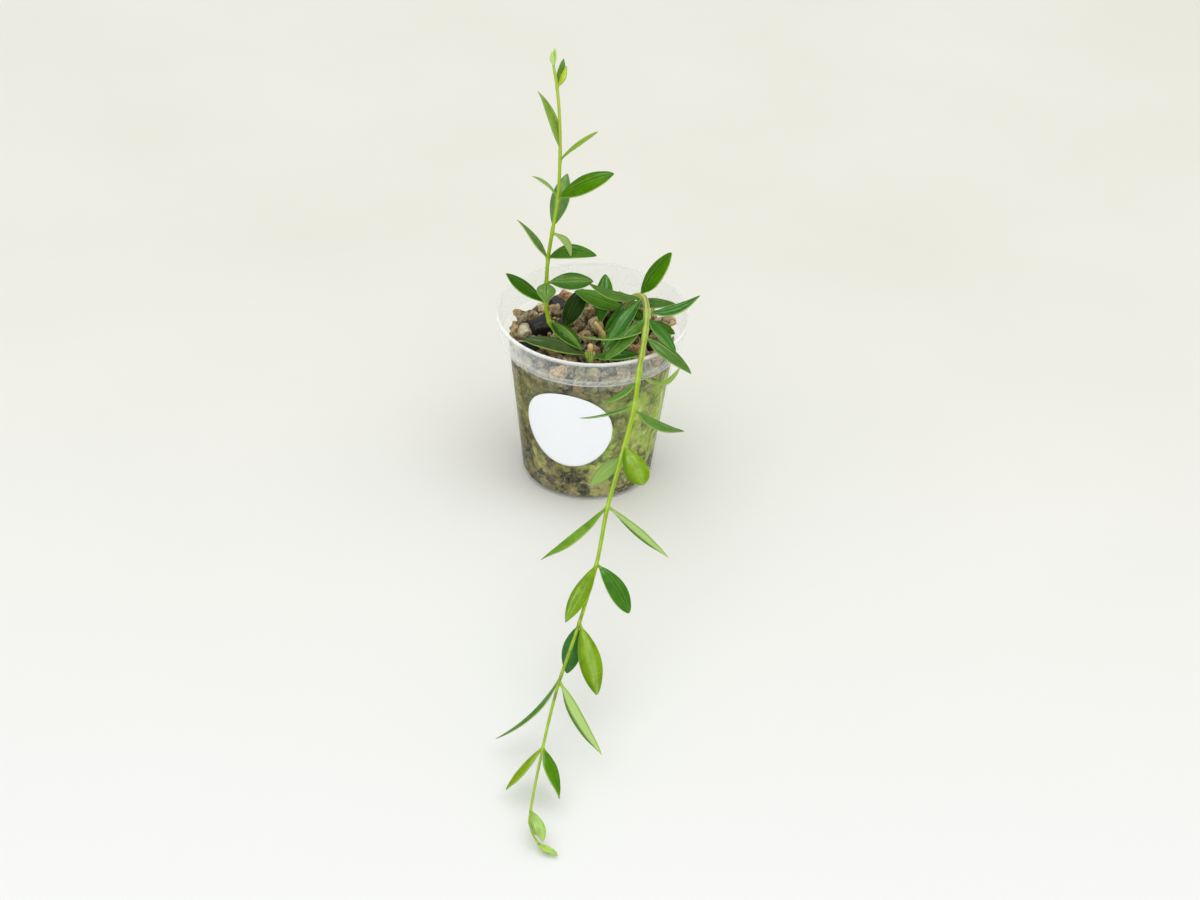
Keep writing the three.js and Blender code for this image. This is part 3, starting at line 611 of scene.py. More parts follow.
def algae_material():
    """A smeared patchy film on the inside of the wall: grey olive on the left, moss green on the right."""
    material, tree, shader = new_material("algae_film", Specular_IOR_Level=0.05)
    x, _, z = place_of(tree)
    wander = ranged(grain(tree, 60, 3), 0.2, 0.8, -0.014, 0.014)
    right = ranged(plus(x, wander), -0.006, 0.012)
    smear = grain(tree, 130, 5, 0.62, (1, 1, 0.8), 0.35)
    green = ramp(
        smear, (0.22, (60, 86, 16)), (0.38, (136, 164, 52)), (0.58, (172, 196, 86)),
        (0.74, (220, 226, 132)))
    brown = ramp(
        smear, (0.28, (36, 38, 14)), (0.42, (104, 104, 44)), (0.56, (148, 146, 74)),
        (0.72, (210, 202, 120)))
    fresh = ranged(grain(tree, 210, 5, 0.6, None, 0.8), 0.58, 0.68, 0, 0.75)
    tuft = ranged(grain(tree, 95, 4, 0.5), 0.62, 0.68, 0, 0.7)
    foot = ranged(plus(z, times(wander, 0.3)), 0.006, 0.018, 0.8, 0)
    tan = mixed(ranged(grain(tree, 230, 5, 0.6), 0.42, 0.58), (34, 30, 16), (176, 162, 106))
    # Painted shade: dark gaps between the grains, strongest near the foot.
    painted_gap_shade = times(ranged(grain(tree, 230, 4, 0.6), 0.42, 0.5, 0.9, 0), ranged(z, 0.01, 0.026, 1, 0.3))
    colour = washed(
        mixed(right, brown, green),
        (fresh, (150, 176, 84)), (tuft, (206, 208, 112)), (foot, tan), (painted_gap_shade, (30, 28, 14)))
    speckle = ranged(grain(tree, 480, 5, 0.65), 0.3, 0.7, 0.68, 1.28)
    broad = ranged(grain(tree, 28, 2), 0.35, 0.65, 0.82, 1.14)
    dots = ranged(grain(tree, 420, 3, 0.6), 0.68, 0.73, 0, 0.8)
    # Painted highlights: small pale yellow-white flecks.
    painted_glint_flecks = ranged(grain(tree, 700, 4, 0.6), 0.6, 0.66, 0, 0.6)
    crossing = reckoned("ABSOLUTE", reckoned("SUBTRACT", grain(tree, 170, 4, 0.6, None, 1.2), 0.5))
    threads = ranged(crossing, 0.004, 0.012, 0.5, 0)
    colour = washed(
        scaled(colour, times(speckle, broad)),
        (dots, (40, 38, 26)), (painted_glint_flecks, (216, 206, 150)), (threads, (196, 200, 140)))
    cover = ranged(grain(tree, 120, 5, 0.6, None, 0.3), 0.36, 0.52, 0.35, 0.94)
    top = ranged(plus(z, times(wander, 0.35)), 0.044, 0.053, 1, 0)
    cover = times(cover, times(top, ranged(z, 0.006, 0.02, 0.8, 1)), True)
    wire(
        shader, Base_Color=colour, Roughness=ranged(smear, 0.3, 0.7, 0.6, 0.9), Alpha=cover,
        Normal=bump(smear, 0.0012, 0.8))
    return material


def bark_material():
    """Charred bark: near black, with fibres and grey-brown worn edges."""
    material, tree, shader = new_material("charred_bark", Specular_IOR_Level=0.35)
    fibres = grain(tree, 700, 5, 0.65, (1, 1, 0.25))
    wire(
        shader, Base_Color=ramp(fibres, (0.3, (14, 12, 12)), (0.55, (34, 29, 27)), (0.75, (86, 70, 58))),
        Roughness=ranged(fibres, 0.3, 0.7, 0.6, 0.9), Normal=bump(fibres, 0.0007))
    return material


def root_material():
    material, tree, shader = new_material("pale_root", Roughness=0.7)
    wire(
        shader, Base_Color=mixed(grain(tree, 300, 3), (196, 184, 132), (140, 132, 80)),
        Normal=bump(grain(tree, 2000, 2), 0.0001, 0.5))
    return material


def plastic_material():
    """Clear thin plastic: nearly unseen face on, painted highlight white at lip and step, milky at the
    collar.
    """
    # The white emission is a painted glow: the haze, milk and painted highlights shine a little above their
    # light.
    material, tree, shader = new_material(
        "clear_plastic", IOR=1.49, Specular_IOR_Level=0.3, Emission_Color=(1, 1, 1, 1), Emission_Strength=0.1)
    haze_and_highlight, collar, _ = attribute(tree, "haze_and_highlight")
    # Painted highlight: the plastic turns whiter where it turns away from view, standing in for reflection at
    # the silhouettes.
    turned_away = add(tree, "ShaderNodeLayerWeight", {"Blend": 0.5}).outputs["Facing"]
    painted_edge_sheen = ranged(turned_away, 0.68, 0.98, 0, 0.17)
    x, y, _ = place_of(tree)
    # Painted highlight: the haze counts in full on the near, front side and at 0.4 at the back, so the lip
    # and step show white at the front.
    near = ranged(y, -0.016, 0.002, 1, 0)
    # Painted highlights: white vertical runs at the front left of the collar, added to its real milky cloud.
    left = times(ranged(x, -0.032, -0.012, 0.3, 0), near)
    painted_highlight_runs = ranged(grain(tree, 260, 4, 0.6, (1, 1, 0.35), 0.6), 0.42, 0.66, 0.5, 1.7)
    cloud = ranged(grain(tree, 50, 3, 0.5, (1, 1, 1.6)), 0.3, 0.7, 0.02, 0.1)
    milk_and_highlights = times(collar, plus(cloud, times(left, painted_highlight_runs)))
    specks = times(collar, ranged(grain(tree, 1100, 2, 0.5), 0.68, 0.72, 0, 0.4))
    scuffs = ranged(grain(tree, 90, 5, 0.65, (1, 1, 2.4)), 0.45, 0.72, 0, 0.035)
    drops = ranged(grain(tree, 1500, 2, 0.5), 0.71, 0.75, 0, 0.25)
    alpha = plus(times(haze_and_highlight, ranged(near, 0, 1, 0.4, 1)), 0.015)
    for more in (painted_edge_sheen, scuffs, milk_and_highlights, specks, drops):
        alpha = plus(alpha, more, True)
    wire(
        shader, Base_Color=mixed(scuffs, (236, 240, 238), (252, 253, 252)), Alpha=alpha,
        Roughness=ranged(grain(tree, 140, 4), 0.3, 0.7, 0.12, 0.3),
        Normal=bump(grain(tree, 160, 3), 0.0003, 0.25))
    return material


def paper_material():
    """Smooth white label paper with a faint satin coat."""
    # The faint bluish emission is a painted glow that lifts the label's white.
    material, tree, shader = new_material(
        "label_paper", Coat_Weight=0.15, Coat_Roughness=0.3, Emission_Color=(0.8, 0.9, 1, 1),
        Emission_Strength=0.11)
    fibres = grain(tree, 2200, 4, 0.6)
    wire(
        shader, Base_Color=mixed(ranged(fibres, 0.3, 0.7), (240, 242, 248), (246, 248, 253)),
        Roughness=ranged(fibres, 0.3, 0.7, 0.42, 0.55), Normal=bump(fibres, 0.00003, 0.5))
    return material


def floor_material():
    material, tree, shader = new_material("pale_floor", Specular_IOR_Level=0.2, Roughness=0.7)
    _, y, _ = place_of(tree)
    far = mixed(ranged(grain(tree, 9, 4), 0.3, 0.7), (219, 219, 209), (224, 223, 214))
    # Painted light: the floor is mixed lighter and cooler towards the front.
    wire(shader, Base_Color=mixed(ranged(y, -0.25, 0.15, 1, 0), far, (232, 233, 232)))
    return material


# The pot and its sticker.

def pot_outline():
    """The pot's closed section as (radius, z, haze), from the middle of the floor out, up, over and in."""
    wall, floor, top = POT["wall"], POT["floor"], POT["height"]
    foot, neck = POT["foot_radius"], POT["neck_radius"]
    collar, rim = POT["collar_foot_radius"], POT["rim_radius"]
    up_wall = [0.8 + (NECK - 1.6) * i / 14 for i in range(1, 14)]
    up_collar = [NECK + 1 + (POT["collar_height"] - 2.6) * i / 5 for i in range(5)]
    # The haze is raised at the lip and at the step, where it paints their white highlights.
    return [
        (0.01, 0.5, 0.05), (foot - 3.4, 0.5, 0.05), (foot - 2.6, 0.05, 0.08), (foot - 1.2, 0, 0.08),
        (foot - 0.35, 0.15, 0.1), (foot + 0.02, 0.8, 0.06),
        *((wall_radius(z), z, 0) for z in up_wall),
        (neck - 0.05, NECK - 0.5, 0.04), (neck + 0.25, NECK - 0.08, 0.1), (neck + 0.6, NECK, 0.12),
        (collar - 0.5, NECK, 0.1), (collar - 0.1, NECK + 0.15, 0.45), (collar, NECK + 0.6, 0.35),
        *((wall_radius(z), z, 0.03) for z in up_collar),
        (rim - 0.3, top - 1.5, 0.04), (rim, top - 1.1, 0.4), (rim, top - 0.4, 0.62),
        (rim - 0.15, top - 0.06, 0.7), (rim - 0.45, top, 0.35), (rim - 0.8, top - 0.08, 0.55),
        (rim - 0.95, top - 0.5, 0.2), (rim - 0.95, top - 1.4, 0.05),
        *((wall_radius(z) - wall, z, 0.03) for z in up_collar[:0:-1]),
        (collar - wall, NECK + 0.9, 0.1), (collar - wall - 0.3, NECK + wall, 0.15),
        (neck - wall + 0.3, NECK + wall, 0.15), (neck - wall, NECK, 0.05),
        *((wall_radius(z) - wall, z, 0) for z in reversed(up_wall)),
        (foot - wall - 0.1, floor + 0.5, 0.06), (foot - wall - 0.6, floor, 0.06), (0.01, floor, 0.05),
    ]


def haze_at(outline, radius, z):
    """The haze of the nearest point of the outline, and whether that is in the collar."""
    nearest = min(outline, key=lambda point: math.hypot(point[0] - radius, point[1] - z))
    return (nearest[2], 1 if z > NECK + 0.7 else 0, 0)


def make_pot(material):
    around = 192
    outline = pot_outline()
    verts = lathe([(r, z) for r, z, _ in outline], around)
    faces = ring_faces(len(outline), around, closed=True)
    pot = add_piece("clear_pot", verts, faces, material, ["pot"])
    drill = bmesh.new()
    drain_radius = POT["drain_radius"] * MM
    for i in range(POT["drain_holes"]):
        place = Vector(polar(POT["drain_ring"], 2 * math.pi * i / POT["drain_holes"], 0)) * MM
        bmesh.ops.create_cone(
            drill, cap_ends=True, segments=40, radius1=drain_radius, radius2=drain_radius,
            depth=10 * MM, matrix=Matrix.Translation(place))
    cutter_mesh = bpy.data.meshes.new("cutter")
    drill.to_mesh(cutter_mesh)
    drill.free()
    cutter = placed("cutter", cutter_mesh)
    cut = pot.modifiers.new("drain_holes", "BOOLEAN")
    cut.object = cutter
    cut.solver = "EXACT"
    bpy.context.view_layer.update()
    pot.data = bpy.data.meshes.new_from_object(pot.evaluated_get(bpy.context.evaluated_depsgraph_get()))
    pot.modifiers.clear()
    bpy.data.objects.remove(cutter)
    made = pot.data.attributes.new("haze_and_highlight", "FLOAT_VECTOR", "POINT")
    for vertex, value in zip(pot.data.vertices, made.data):
        x, y, z = vertex.co / MM
        value.vector = haze_at(outline, math.hypot(x, y), z)


def make_sticker(material):
    """A round disc laid on the tapered wall."""
    rings, around = 14, 128
    radius, thickness = STICKER["radius"], STICKER["thickness"]
    shares = [i / rings for i in range(rings + 1)]
    section = [(radius * k, 0) for k in shares]
    section += [(radius + 0.04, thickness * 0.5)]
    section += [(radius * k, thickness) for k in reversed(shares)]
    taper = math.atan2(POT["neck_radius"] - POT["foot_radius"], NECK)
    bend = wall_radius(STICKER["height"])
    verts = []
    for r, out in section:
        for i in range(around):
            angle = 2 * math.pi * i / around
            z = STICKER["height"] + r * math.sin(angle) * math.cos(taper)
            heading = math.radians(STICKER["heading"]) + r * math.cos(angle) / bend
            verts.append(polar(wall_radius(z) + STICKER["lift"] + out, heading, z))
    faces = ring_faces(len(section), around)[:, ::-1]
    add_piece("round_sticker", verts, faces, material, ["sticker"])


# Shoots.

def leaf_frame(shoot, leaf):
    """Where a leaf grows from its stem, and the directions along, up and across it."""
    node, heading, rise, _, _, roll = leaf[:6]
    base, _ = spline(shoot["path"], node / (len(shoot["path"]) - 1))
    h, r = math.radians(heading), math.radians(rise)
    along = Vector((math.cos(r) * math.cos(h), math.cos(r) * math.sin(h), math.sin(r)))
    up = Vector((-math.sin(r) * math.cos(h), -math.sin(r) * math.sin(h), math.cos(r)))
    up.rotate(Matrix.Rotation(math.radians(roll), 3, along))
    return base, np.array(along), np.array(up), np.array(along.cross(up))


def spine_at(share, base, along, up, length, arch):
    """A place on a leaf's arched middle line."""
    return base + along * share * length + up * arch * length * 4 * share * (1 - share)


def outline_at(share, widest, point):
    """The outline of a blade, as a share of its half width."""
    if share < widest:
        return math.sin(share / widest * math.pi / 2) ** LEAF["fullness"]
    return max(0.0, math.sin((1 - share) / (1 - widest) * math.pi / 2)) ** point


def add_leaf(parts, shoot, leaf, chance):
    """Adds one leaf, with its coordinates and its colouring for the material."""
    _, _, _, length, width, _, arch, widest, point, age, look = leaf
    fold = look.get("fold", 1)
    stalk_radius = LEAF["stalk_radius"]
    base, along, up, across = leaf_frame(shoot, leaf)
    half = np.concatenate([-ACROSS[:0:-1], ACROSS])
    s = np.concatenate([half, [1.0], half[::-1], [-1.0]])
    under = np.concatenate([np.zeros(len(half)), [0.5], np.ones(len(half)), [0.5]])
    facing = 1 - 2 * under
    puff = chance.uniform(0.05, 0.09)
    wave = chance.uniform(0, 6.28)
    twist = math.radians(chance.uniform(-8, 8))
    sway = chance.uniform(-0.015, 0.015) * length
    tone = age + chance.uniform(-0.03, 0.03)
    growth = np.tile([tone, look.get("hue", 0), look.get("painted_light_band", 0)], (len(s), 1))
    wash = np.tile([look.get("pale", 0), look.get("side", 0), 0], (len(s), 1))
    rings, coordinates = [], []
    for share in 0.5 - 0.5 * np.cos(np.linspace(0, np.pi, LEAF["steps"] + 1)):
        blade = max(0.0, (share - LEAF["stalk"]) / (1 - LEAF["stalk"]))
        narrow = stalk_radius + (LEAF["tip_radius"] - stalk_radius) * share
        half_width = math.hypot(narrow, outline_at(blade, widest, point) * width / 2)
        open_share = min(1.0, max(0.0, (half_width - stalk_radius) / (0.25 * width)))
        thick = (0.46 - 0.08 * open_share) * (1 - share ** 8 * 0.75)
        thick *= min(1.0, width / 3.4) * (0.6 + 0.4 * fold)
        thickness = facing * thick * np.maximum(0, 1 - s ** 2) ** 0.25
        roof = -fold * half_width * open_share * (0.08 * np.abs(s) + 0.14 * s ** 2 + 0.05 * s ** 6)
        puffed = np.where(facing > 0, puff * half_width * open_share * np.sin(np.pi * np.abs(s)) ** 0.8, 0)
        groove = -open_share * np.where(facing > 0, 0.26, 0.2) * np.exp(-(s / 0.1) ** 2)
        ripple = 0.06 * open_share * s ** 2 * math.sin(9 * share + wave) * np.sign(s + 1e-6)
        x = s * half_width
        z = thickness + roof + puffed + groove + ripple
        cos, sin = math.cos(twist * share), math.sin(twist * share)
        x, z = x * cos - z * sin, x * sin + z * cos
        x += sway * math.sin(math.pi * share)
        place = spine_at(share, base, along, up, length, arch)
        rings.append(place + np.outer(x, across) + np.outer(z, up))
        coordinates.append(np.stack([s, np.full(len(s), share), under], 1))
    count = len(rings)
    parts.add_closed(rings, True, leaf=coordinates, growth=[growth] * count, wash=[wash] * count)


def add_stem(parts, shoot, chance, old, dry, flush, light):
    """Adds a stem, swollen at its leaves. The rules give its colour along its length."""
    around = STEM["around"]
    steps = (len(shoot["path"]) - 1) * STEM["steps_per_span"]
    joints = np.array([leaf_frame(shoot, leaf)[0] for leaf in shoot["leaves"]])
    lines = np.array([chance.uniform(0, 1) for _ in range(around)])
    rings, growth, joint = [], [], []
    for step in range(steps + 1):
        share = step / steps
        place, along = spline(shoot["path"], share)
        tapered = max(0.0, (share - shoot["taper_from"]) / (1 - shoot["taper_from"]))
        thinner = (shoot["radius"] - shoot["tip_radius"]) * (1 - tapered) ** STEM["tapering"]
        radius = STEM["rounded"] * (shoot["tip_radius"] + thinner)
        nearest = np.min(np.linalg.norm(joints - place, axis=1))
        swell = math.exp(-(nearest / (1.4 * radius)) ** 2)
        radius *= (1 + STEM["swelling"] * swell) * (0.55 + 0.45 * min(1.0, (steps - step) / 2))
        ridged = radius * (1 + 0.05 * (lines - 0.5) * old(share))
        rings.append(ring_round(place, along, (1, 0, 0), ridged, around))
        growth.append(np.stack([np.full(around, old(share)), np.full(around, dry(share)), lines], 1))
        joint.append(np.tile([swell, flush(share), light(share)], (around, 1)))
    parts.add_closed(rings, growth=growth, joint=joint)


def between(start, end, low, high):
    """A rule that goes from low to high between two shares of a length."""
    return lambda share: low + (high - low) * min(1, max(0, (share - start) / (end - start)))


def browned(share):
    return 0.65 if 0.66 < share < 0.75 else 0.15


def colour_along(name):
    """How old, dry, flushed with brown and light a shoot's stem is along its length."""
    never = between(0, 1, 0, 0)
    worn = between(0, 1, 0.8, 0.8)
    rules = {
        "trailing_shoot": (between(0.3, 0.44, 1, 0), never, browned, between(0.75, 1, 0, 0.6)),
        "upright_shoot": (between(0.1, 0.3, 0.3, 0), never, never, between(0.55, 1, 0, 0.55)),
        "stub_cutting": (worn, between(0.66, 0.78, 0, 1), never, never),
        "front_cutting": (worn, between(0.84, 0.94, 0, 1), never, never),
    }
    return rules.get(name, (worn, between(0, 1, 0.3, 0.3), never, never))


def make_shoot(name, leaf_look, stem_look, slot):
    """A stem piece and a leaves piece, which stand for the shoot together."""
    shoot = SHOOTS[name]
    chance = random.Random(name)
    stem, leaves = Parts(), Parts()
    add_stem(stem, shoot, chance, *colour_along(name))
    for leaf in shoot["leaves"]:
        add_leaf(leaves, shoot, leaf, chance)
    short_name = name.replace("_shoot", "")
    stem.piece(short_name + "_stem", stem_look, slot, [name])
    leaves.piece(short_name + "_leaves", leaf_look, slot, [name])


# The bed.

TOP_TINTS = [
    (214, 196, 152), (194, 168, 118), (178, 140, 92), (158, 140, 94), (132, 118, 74), (100, 84, 50),
    (206, 178, 128), (222, 206, 160), (66, 54, 34), (164, 128, 78), (50, 42, 26),
]
MOSSY_TINTS = [(126, 122, 74), (104, 108, 58), (150, 144, 88), (92, 84, 56), (70, 68, 52), (142, 128, 96)]

# Larger grains on top: the place of the middle, the radius and the colour.
SEEN_GRAINS = [
    ((-24.1, 0.6, 56.6), 3.2, (240, 228, 200)), ((-25.4, 7.8, 57.6), 2.6, (134, 124, 92)),
    ((-28, 2.2, 56.4), 1.9, (190, 146, 102)), ((-21.5, 11.9, 56.4), 1.9, (192, 162, 124)),
    ((-14.1, 16.6, 56.4), 2.6, (158, 124, 88)), ((-9.8, 24, 56.6), 3.4, (194, 138, 104)),
    ((-4.8, 6.4, 55.8), 2.4, (116, 98, 66)), ((-2.4, 0.1, 55.8), 2.2, (198, 168, 126)),
    ((-1.8, 15.5, 56.4), 2.5, (178, 140, 102)), ((10.1, 28, 56.2), 2.2, (220, 188, 146)),
    ((28, 10, 56.2), 3.1, (210, 176, 142)), ((23, 0.6, 56.2), 2.2, (208, 172, 132)),
    ((17.6, -8.9, 56.2), 2.6, (212, 168, 122)), ((2.1, -10.1, 56), 2.2, (146, 108, 62)),
    ((-13.4, -13.2, 56), 2.4, (192, 146, 90)), ((-11.1, -25.6, 55.6), 3, (212, 180, 132)),
    ((1.1, -24.7, 55.4), 2.6, (180, 168, 112)), ((11.8, -24.5, 55.4), 2.8, (196, 172, 138)),
    ((5.4, 23.7, 56.2), 2.4, (118, 98, 70)),
]


def shaved(verts, normal, depth):
    """Vertices with what lies beyond a plane flattened onto it."""
    normal = normal / np.linalg.norm(normal)
    return verts - np.outer(np.maximum(0, verts @ normal - depth), normal)


def blocked(verts, askew, depth):
    """Vertices cut to a block by six planes, with rules for how askew and how deep each is."""
    for axis in range(3):
        for sign in (-1, 1):
            normal = np.array([askew() for _ in range(3)])
            normal[axis] += sign
            verts = shaved(verts, normal, depth())
    return verts


def turned(verts, heading, tilt):
    """Vertices tilted about X and then turned about Z."""
    matrix = Matrix.Rotation(heading, 3, "Z") @ Matrix.Rotation(tilt, 3, "X")
    return verts @ np.array(matrix).T


def stone_mesh(verts, radius, chance):
    """A broken porous grain: a ball cut to a block by planes, roughened and pitted."""
    verts = blocked(verts, lambda: chance.gauss(0, 0.24), lambda: chance.uniform(0.58, 0.8))
    for _ in range(4):
        normal = np.array([chance.gauss(0, 1) for _ in range(3)])
        verts = shaved(verts, normal, chance.uniform(0.72, 0.92))
    shift = Vector([chance.uniform(-50, 50) for _ in range(3)])
    for place in verts:
        spot = Vector(place)
        coarse = noise.noise(spot * 1.3 + shift)
        fine = noise.noise(spot * 4.5 + shift)
        pores = max(0.0, noise.noise(spot * 6.5 - shift) - 0.1)
        place *= 1.13 + 0.06 * coarse + 0.05 * fine - 0.22 * pores
    verts *= np.array([chance.uniform(0.85, 1.15) for _ in range(3)]) * radius
    return turned(verts, chance.uniform(0, 6.28), chance.uniform(0, 3.14))


def tint_of(choices, chance):
    colour = np.array(linear(chance.choice(choices))[:3])
    return np.clip(colour * chance.uniform(0.8, 1.24), 0, 1)


def plant_room():
    """A function that gives how far a place is from the stems and leaves near the bed."""
    points = []
    for shoot in SHOOTS.values():
        for step in range(61):
            place, _ = spline(shoot["path"], step / 60)
            points.append((place, shoot["radius"]))
        for leaf in shoot["leaves"]:
            base, along, up, across = leaf_frame(shoot, leaf)
            length, width, arch = leaf[3], leaf[4], leaf[6]
            for share in np.linspace(0.15, 1, 9):
                middle = spine_at(share, base, along, up, length, arch)
                for side in (-0.7, 0, 0.7):
                    reach = math.sin(math.pi * min(1, share)) * width / 2 * side
                    points.append((middle + across * reach, 0.6))
    near = [(p, r) for p, r in points if 46 < p[2] < 68 and math.hypot(p[0], p[1]) < 34]
    tree = kdtree.KDTree(len(near))
    for i, (p, _) in enumerate(near):
        tree.insert(Vector(p), i)
    tree.balance()

    def room_at(place):
        _, index, distance = tree.find(place)
        return distance - near[index][1]

    return room_at


def held_within(verts, limits):
    """Vertices drawn in to those distances from the middle line."""
    reach = np.hypot(verts[:, 0], verts[:, 1])
    verts[:, :2] *= np.minimum(1, limits / np.maximum(reach, 1e-6))[:, None]
    return verts


def make_top_grains(material, chance):
    """Grains on top of the bed, in a spiral, clear of the stems, the bark and each other."""
    fine, plain = ball(3), ball(2)
    room_at = plant_room()
    top = Parts()
    taken = [(Vector(at), max(size) / 2) for at, size, _, _ in BARK]

    def grain_at(place, radius, template):
        verts = stone_mesh(template, radius, chance) + np.array(place)
        in_collar = verts[:, 2] > NECK + 1
        return held_within(verts, np.where(in_collar, BED["reach_in_collar"], BED["reach"]))

    for place, radius, colour in SEEN_GRAINS:
        top.add_tinted(grain_at(place, radius, fine[0]), fine[1], linear(colour)[:3])
        taken.append((Vector(place), radius))
    golden = math.pi * (3 - math.sqrt(5))
    for i in range(BED["grains"]):
        out = BED["spread"] * math.sqrt((i + 0.5) / BED["grains"]) + chance.uniform(-0.8, 0.8)
        angle = i * golden + chance.uniform(-0.05, 0.05)
        radius = chance.choice([1.5, 1.8, 2.2, 2.6])
        place = Vector(polar(out, angle, BED["top"] + chance.uniform(-1.2, 1)))
        mossy = place.y < -BED["mossy_front"]
        if mossy:
            place.z -= BED["mossy_drop"]
        if any((place - middle).length < 0.6 * (reach + radius) for middle, reach in taken):
            continue
        room = room_at(place)
        if room < 1.1:
            continue
        radius = min(radius, max(1.1, room + 0.2))
        template, faces = fine if radius > 2 else plain
        verts = grain_at(place, radius, template)
        top.add_tinted(verts, faces, tint_of(MOSSY_TINTS if mossy else TOP_TINTS, chance))
    top.piece("top_grains", material, "pumice", ["bed"], smooth=False)


def make_wall_grains(material, chance):
    """Rows of grains against the pot's wall, mossier further down."""
    plain, faces = ball(2)
    side = Parts()
    z = POT["floor"] + 1.6
    row = 0
    while z < BED["top"] - 0.5:
        limit = wall_radius(z) - INNER
        count = int(2 * math.pi * limit / BED["grain_room"])
        for i in range(count):
            angle = 2 * math.pi * (i + 0.5 * (row % 2) + chance.uniform(-0.2, 0.2)) / count
            radius = chance.uniform(1.9, 3.1)
            out = limit - radius * chance.uniform(0.45, 0.85)
            place = np.array(polar(out, angle, z + chance.uniform(-0.9, 0.9)))
            verts = stone_mesh(plain, radius, chance) + place
            verts[:, 2] = np.maximum(verts[:, 2], POT["floor"] + 0.25)
            walls = np.array([wall_radius(min(v, NECK)) for v in verts[:, 2]]) - INNER
            mossy = chance.random() < min(0.95, max(0.15, 1.3 - z / 52))
            tint = tint_of(MOSSY_TINTS if mossy else TOP_TINTS, chance)
            side.add_tinted(held_within(verts, walls), faces, tint)
        z += BED["row_height"]
        row += 1
    side.piece("wall_grains", material, "pumice", ["bed"], smooth=False)


def make_core(material):
    """Damp crumbs behind the grains."""
    rows, around = 40, 96
    low, high = POT["floor"] + 0.3, BED["top"] - 0.9
    heights = [low + (high - low) * i / rows for i in range(rows + 1)]
    outline = [(0.01, low), *((wall_radius(z) - INNER - 1.5, z) for z in heights), (0.01, high)]
    verts = lathe(outline, around)
    for place in verts:
        spot = Vector(place)
        rough = noise.noise(spot * 0.35) * 0.9 + noise.noise(spot * 1.1) * 0.4
        place[:2] *= 1 + rough / 30
        if place[2] > BED["top"] - 2:
            place[2] += rough
    faces = ring_faces(len(outline), around, closed=True)
    add_piece("damp_core", verts, faces, material, ["bed"])


def make_crumbs(material):
    """Small loose crumbs between the grains on top."""
    chance = random.Random(9)
    template, faces = ball(2)
    room_at = plant_room()
    crumbs = Parts()
    for _ in range(BED["crumbs"]):
        out = BED["crumb_spread"] * math.sqrt(chance.random())
        angle = chance.uniform(0, 2 * math.pi)
        radius = chance.uniform(0.5, 1.2)
        place = Vector(polar(out, angle, BED["top"] + chance.uniform(-0.5, 1.8)))
        if room_at(place) < radius * 0.7:
            continue
        verts = stone_mesh(template, radius, chance) + np.array(place)
        crumbs.add_tinted(verts, faces, tint_of(TOP_TINTS + MOSSY_TINTS, chance))
    crumbs.piece("loose_crumbs", material, "pumice", [], smooth=False)


def make_algae(material):
    """The film on the inside of the wall."""
    rows, around = 60, 192
    low, high = POT["floor"] + 0.3, NECK - 0.5
    heights = [low + (high - low) * i / rows for i in range(rows + 1)]
    verts = lathe([(wall_radius(z) - POT["wall"] - 0.06, z) for z in heights], around)
    add_piece("algae_film", verts, ring_faces(rows + 1, around), material, [])


def chunk_mesh(size, turn, tilt, chance):
    """A split block: a rounded cube, stepped and roughened along its fibres."""
    made = bmesh.new()
    bmesh.ops.create_cube(made, size=2)
    bmesh.ops.subdivide_edges(made, edges=made.edges[:], cuts=13, use_grid_fill=True)
    verts, faces = read_mesh(made)
    verts = blocked(verts, lambda: chance.uniform(-0.35, 0.35), lambda: chance.uniform(0.78, 0.98))
    shift = Vector([chance.uniform(-50, 50) for _ in range(3)])
    for place in verts:
        spot = Vector((place[0] * 0.5, place[1] * 2.2, place[2] * 2.2))
        steps = round(noise.noise(spot * 0.9 + shift) * 4) / 4
        rough = noise.noise(spot * 3 + shift)
        place *= 0.93 + 0.09 * steps + 0.06 * rough
    return turned(verts * np.array(size) / 2, math.radians(turn), math.radians(tilt)), faces


def make_bark(material):
    for i, (at, size, turn, tilt) in enumerate(BARK):
        verts, faces = chunk_mesh(size, turn, tilt, random.Random(40 + i))
        name = f"bark_{i + 1}"
        add_piece(f"bark_chunk_{i + 1}", verts + np.array(at), faces, material, [name])


def make_roots(material):
    """Thin pale roots that run down the inside of the wall at the front and spread at its foot."""
    chance = random.Random(3)
    roots = Parts()
    for _ in range(ROOTS):
        heading = math.radians(chance.uniform(-104, -78))
        z = chance.uniform(9, 16)
        lean = chance.uniform(-0.02, 0.02)
        path = []
        for _ in range(chance.randint(9, 15)):
            path.append(polar(wall_radius(z) - POT["wall"] - 0.35, heading, z))
            lean += chance.uniform(-0.02, 0.02)
            heading += lean
            z = max(POT["floor"] + 0.5, z - chance.uniform(0.4, 1.3))
        path = np.array(path)
        thick = chance.uniform(0.14, 0.26)
        rings = []
        for k, place in enumerate(path):
            along = path[min(k + 1, len(path) - 1)] - path[max(k - 1, 0)]
            along /= np.linalg.norm(along)
            size = thick * (1 - 0.6 * k / len(path))
            rings.append(ring_round(place, along, (-place[0], -place[1], 0), size, 8))
        roots.add_closed(rings)
    roots.piece("fine_roots", material, "pumice", [])


# The stage.

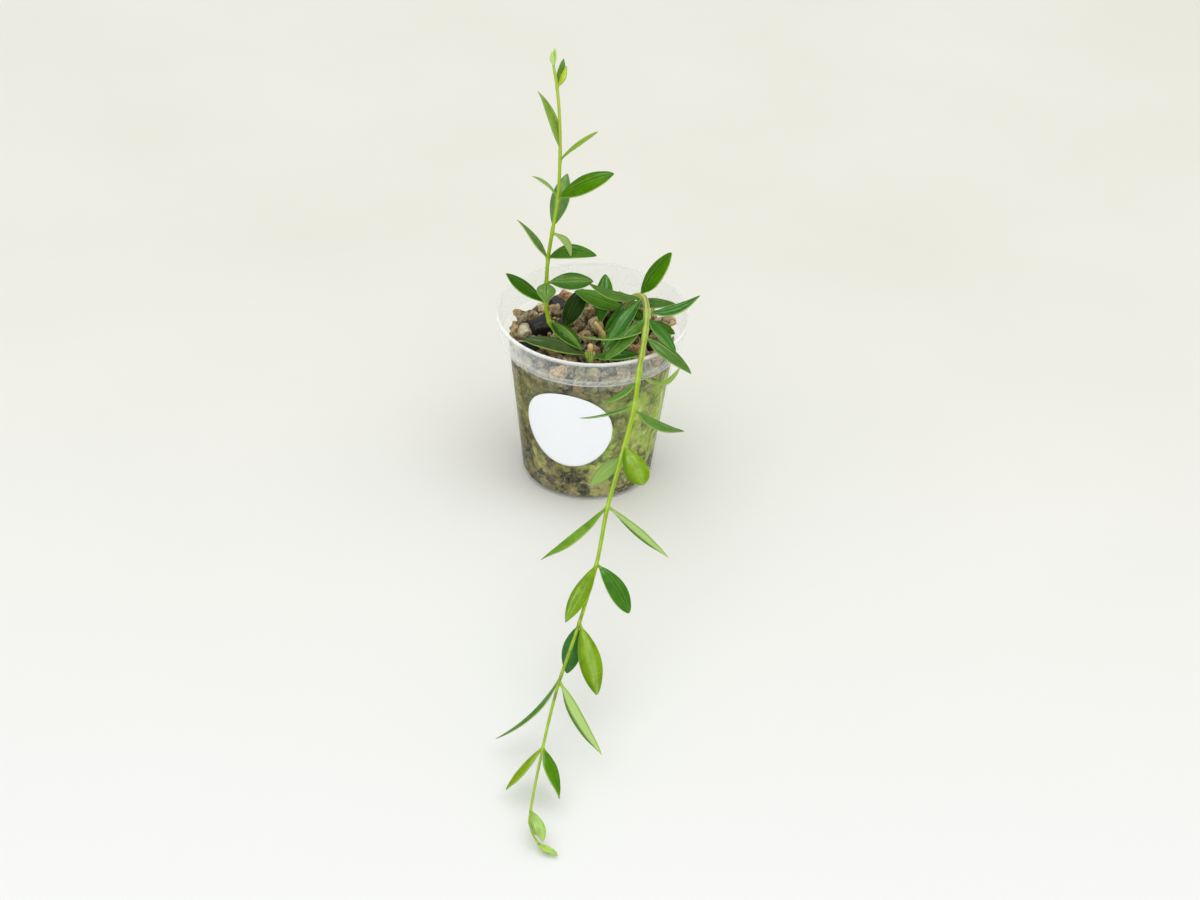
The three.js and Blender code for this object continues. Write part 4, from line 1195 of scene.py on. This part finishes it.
def make_camera():
    data = bpy.data.cameras.new("camera")
    data.sensor_width = 36
    data.lens = CAMERA["focal_px"] / CAMERA["frame_px"] * data.sensor_width
    data.clip_start, data.clip_end = 0.05, 20
    camera = placed("camera", data)
    tilt = Matrix.Rotation(math.radians(90 - CAMERA["down"]), 4, "X")
    roll = Matrix.Rotation(math.radians(CAMERA["roll"]), 4, "Z")
    camera.matrix_world = Matrix.Translation(Vector(CAMERA["place"]) * MM) @ tilt @ roll
    bpy.context.scene.camera = camera


def add_light(name, place, target, size, power, colour):
    data = bpy.data.lights.new(name, "AREA")
    data.shape = "DISK"
    data.size = size
    data.energy = power
    data.color = colour
    light = placed(name, data)
    light.location = place
    light.rotation_euler = (Vector(target) - Vector(place)).to_track_quat("-Z", "Y").to_euler()
    return light


def make_world():
    """Soft light from all round, brightest from above."""
    world = bpy.data.worlds.new("studio")
    world.use_nodes = True
    tree = world.node_tree
    x, y, z = place_of(tree, "Generated")
    above = ranged(z, 0.55, 1, 0.55, 1.66)
    front = ranged(y, -0.9, 0.4, 0.42, 0)
    right = ranged(x, -0.9, 0.9, -0.05, 0.05)
    wire(
        tree.nodes["Background"], Strength=plus(above, plus(front, right)),
        Color=mixed(ranged(z, 0.7, 0.95), (255, 253.31, 250.46), (250.46, 252.74, 255)))
    bpy.context.scene.world = world


def make_stage():
    floor_mesh = bpy.data.meshes.new("floor")
    reach = 4
    corners = [(-reach, -reach, 0), (reach, -reach, 0), (reach, reach, 0), (-reach, reach, 0)]
    floor_mesh.from_pydata(corners, [], [(0, 1, 2, 3)])
    floor_mesh.materials.append(floor_material())
    placed("floor", floor_mesh)
    make_world()
    target = (0, -0.06, 0.06)
    add_light("key", (0.5, -0.3, 1.3), target, 0.8, 1.2, (1, 0.97, 0.92))
    gloss = add_light("gloss", (-0.45, 0.5, 1.35), target, 0.7, 26, (0.86, 0.95, 1))
    gloss.visible_diffuse = False
    bpy.context.scene.view_settings.view_transform = "Standard"


make_camera()
make_stage()
leaf_look = leaf_material()
stem_look = stem_material()
pumice_look = pumice_material()
make_pot(plastic_material())
make_sticker(paper_material())
for name in SHOOTS:
    make_shoot(name, leaf_look, stem_look, "shoot_green" if name.endswith("shoot") else "cutting_green")
bed_chance = random.Random(5)
make_top_grains(pumice_look, bed_chance)
make_wall_grains(pumice_look, bed_chance)
make_core(soil_material())
make_crumbs(pumice_look)
make_algae(algae_material())
make_bark(bark_material())
make_roots(root_material())
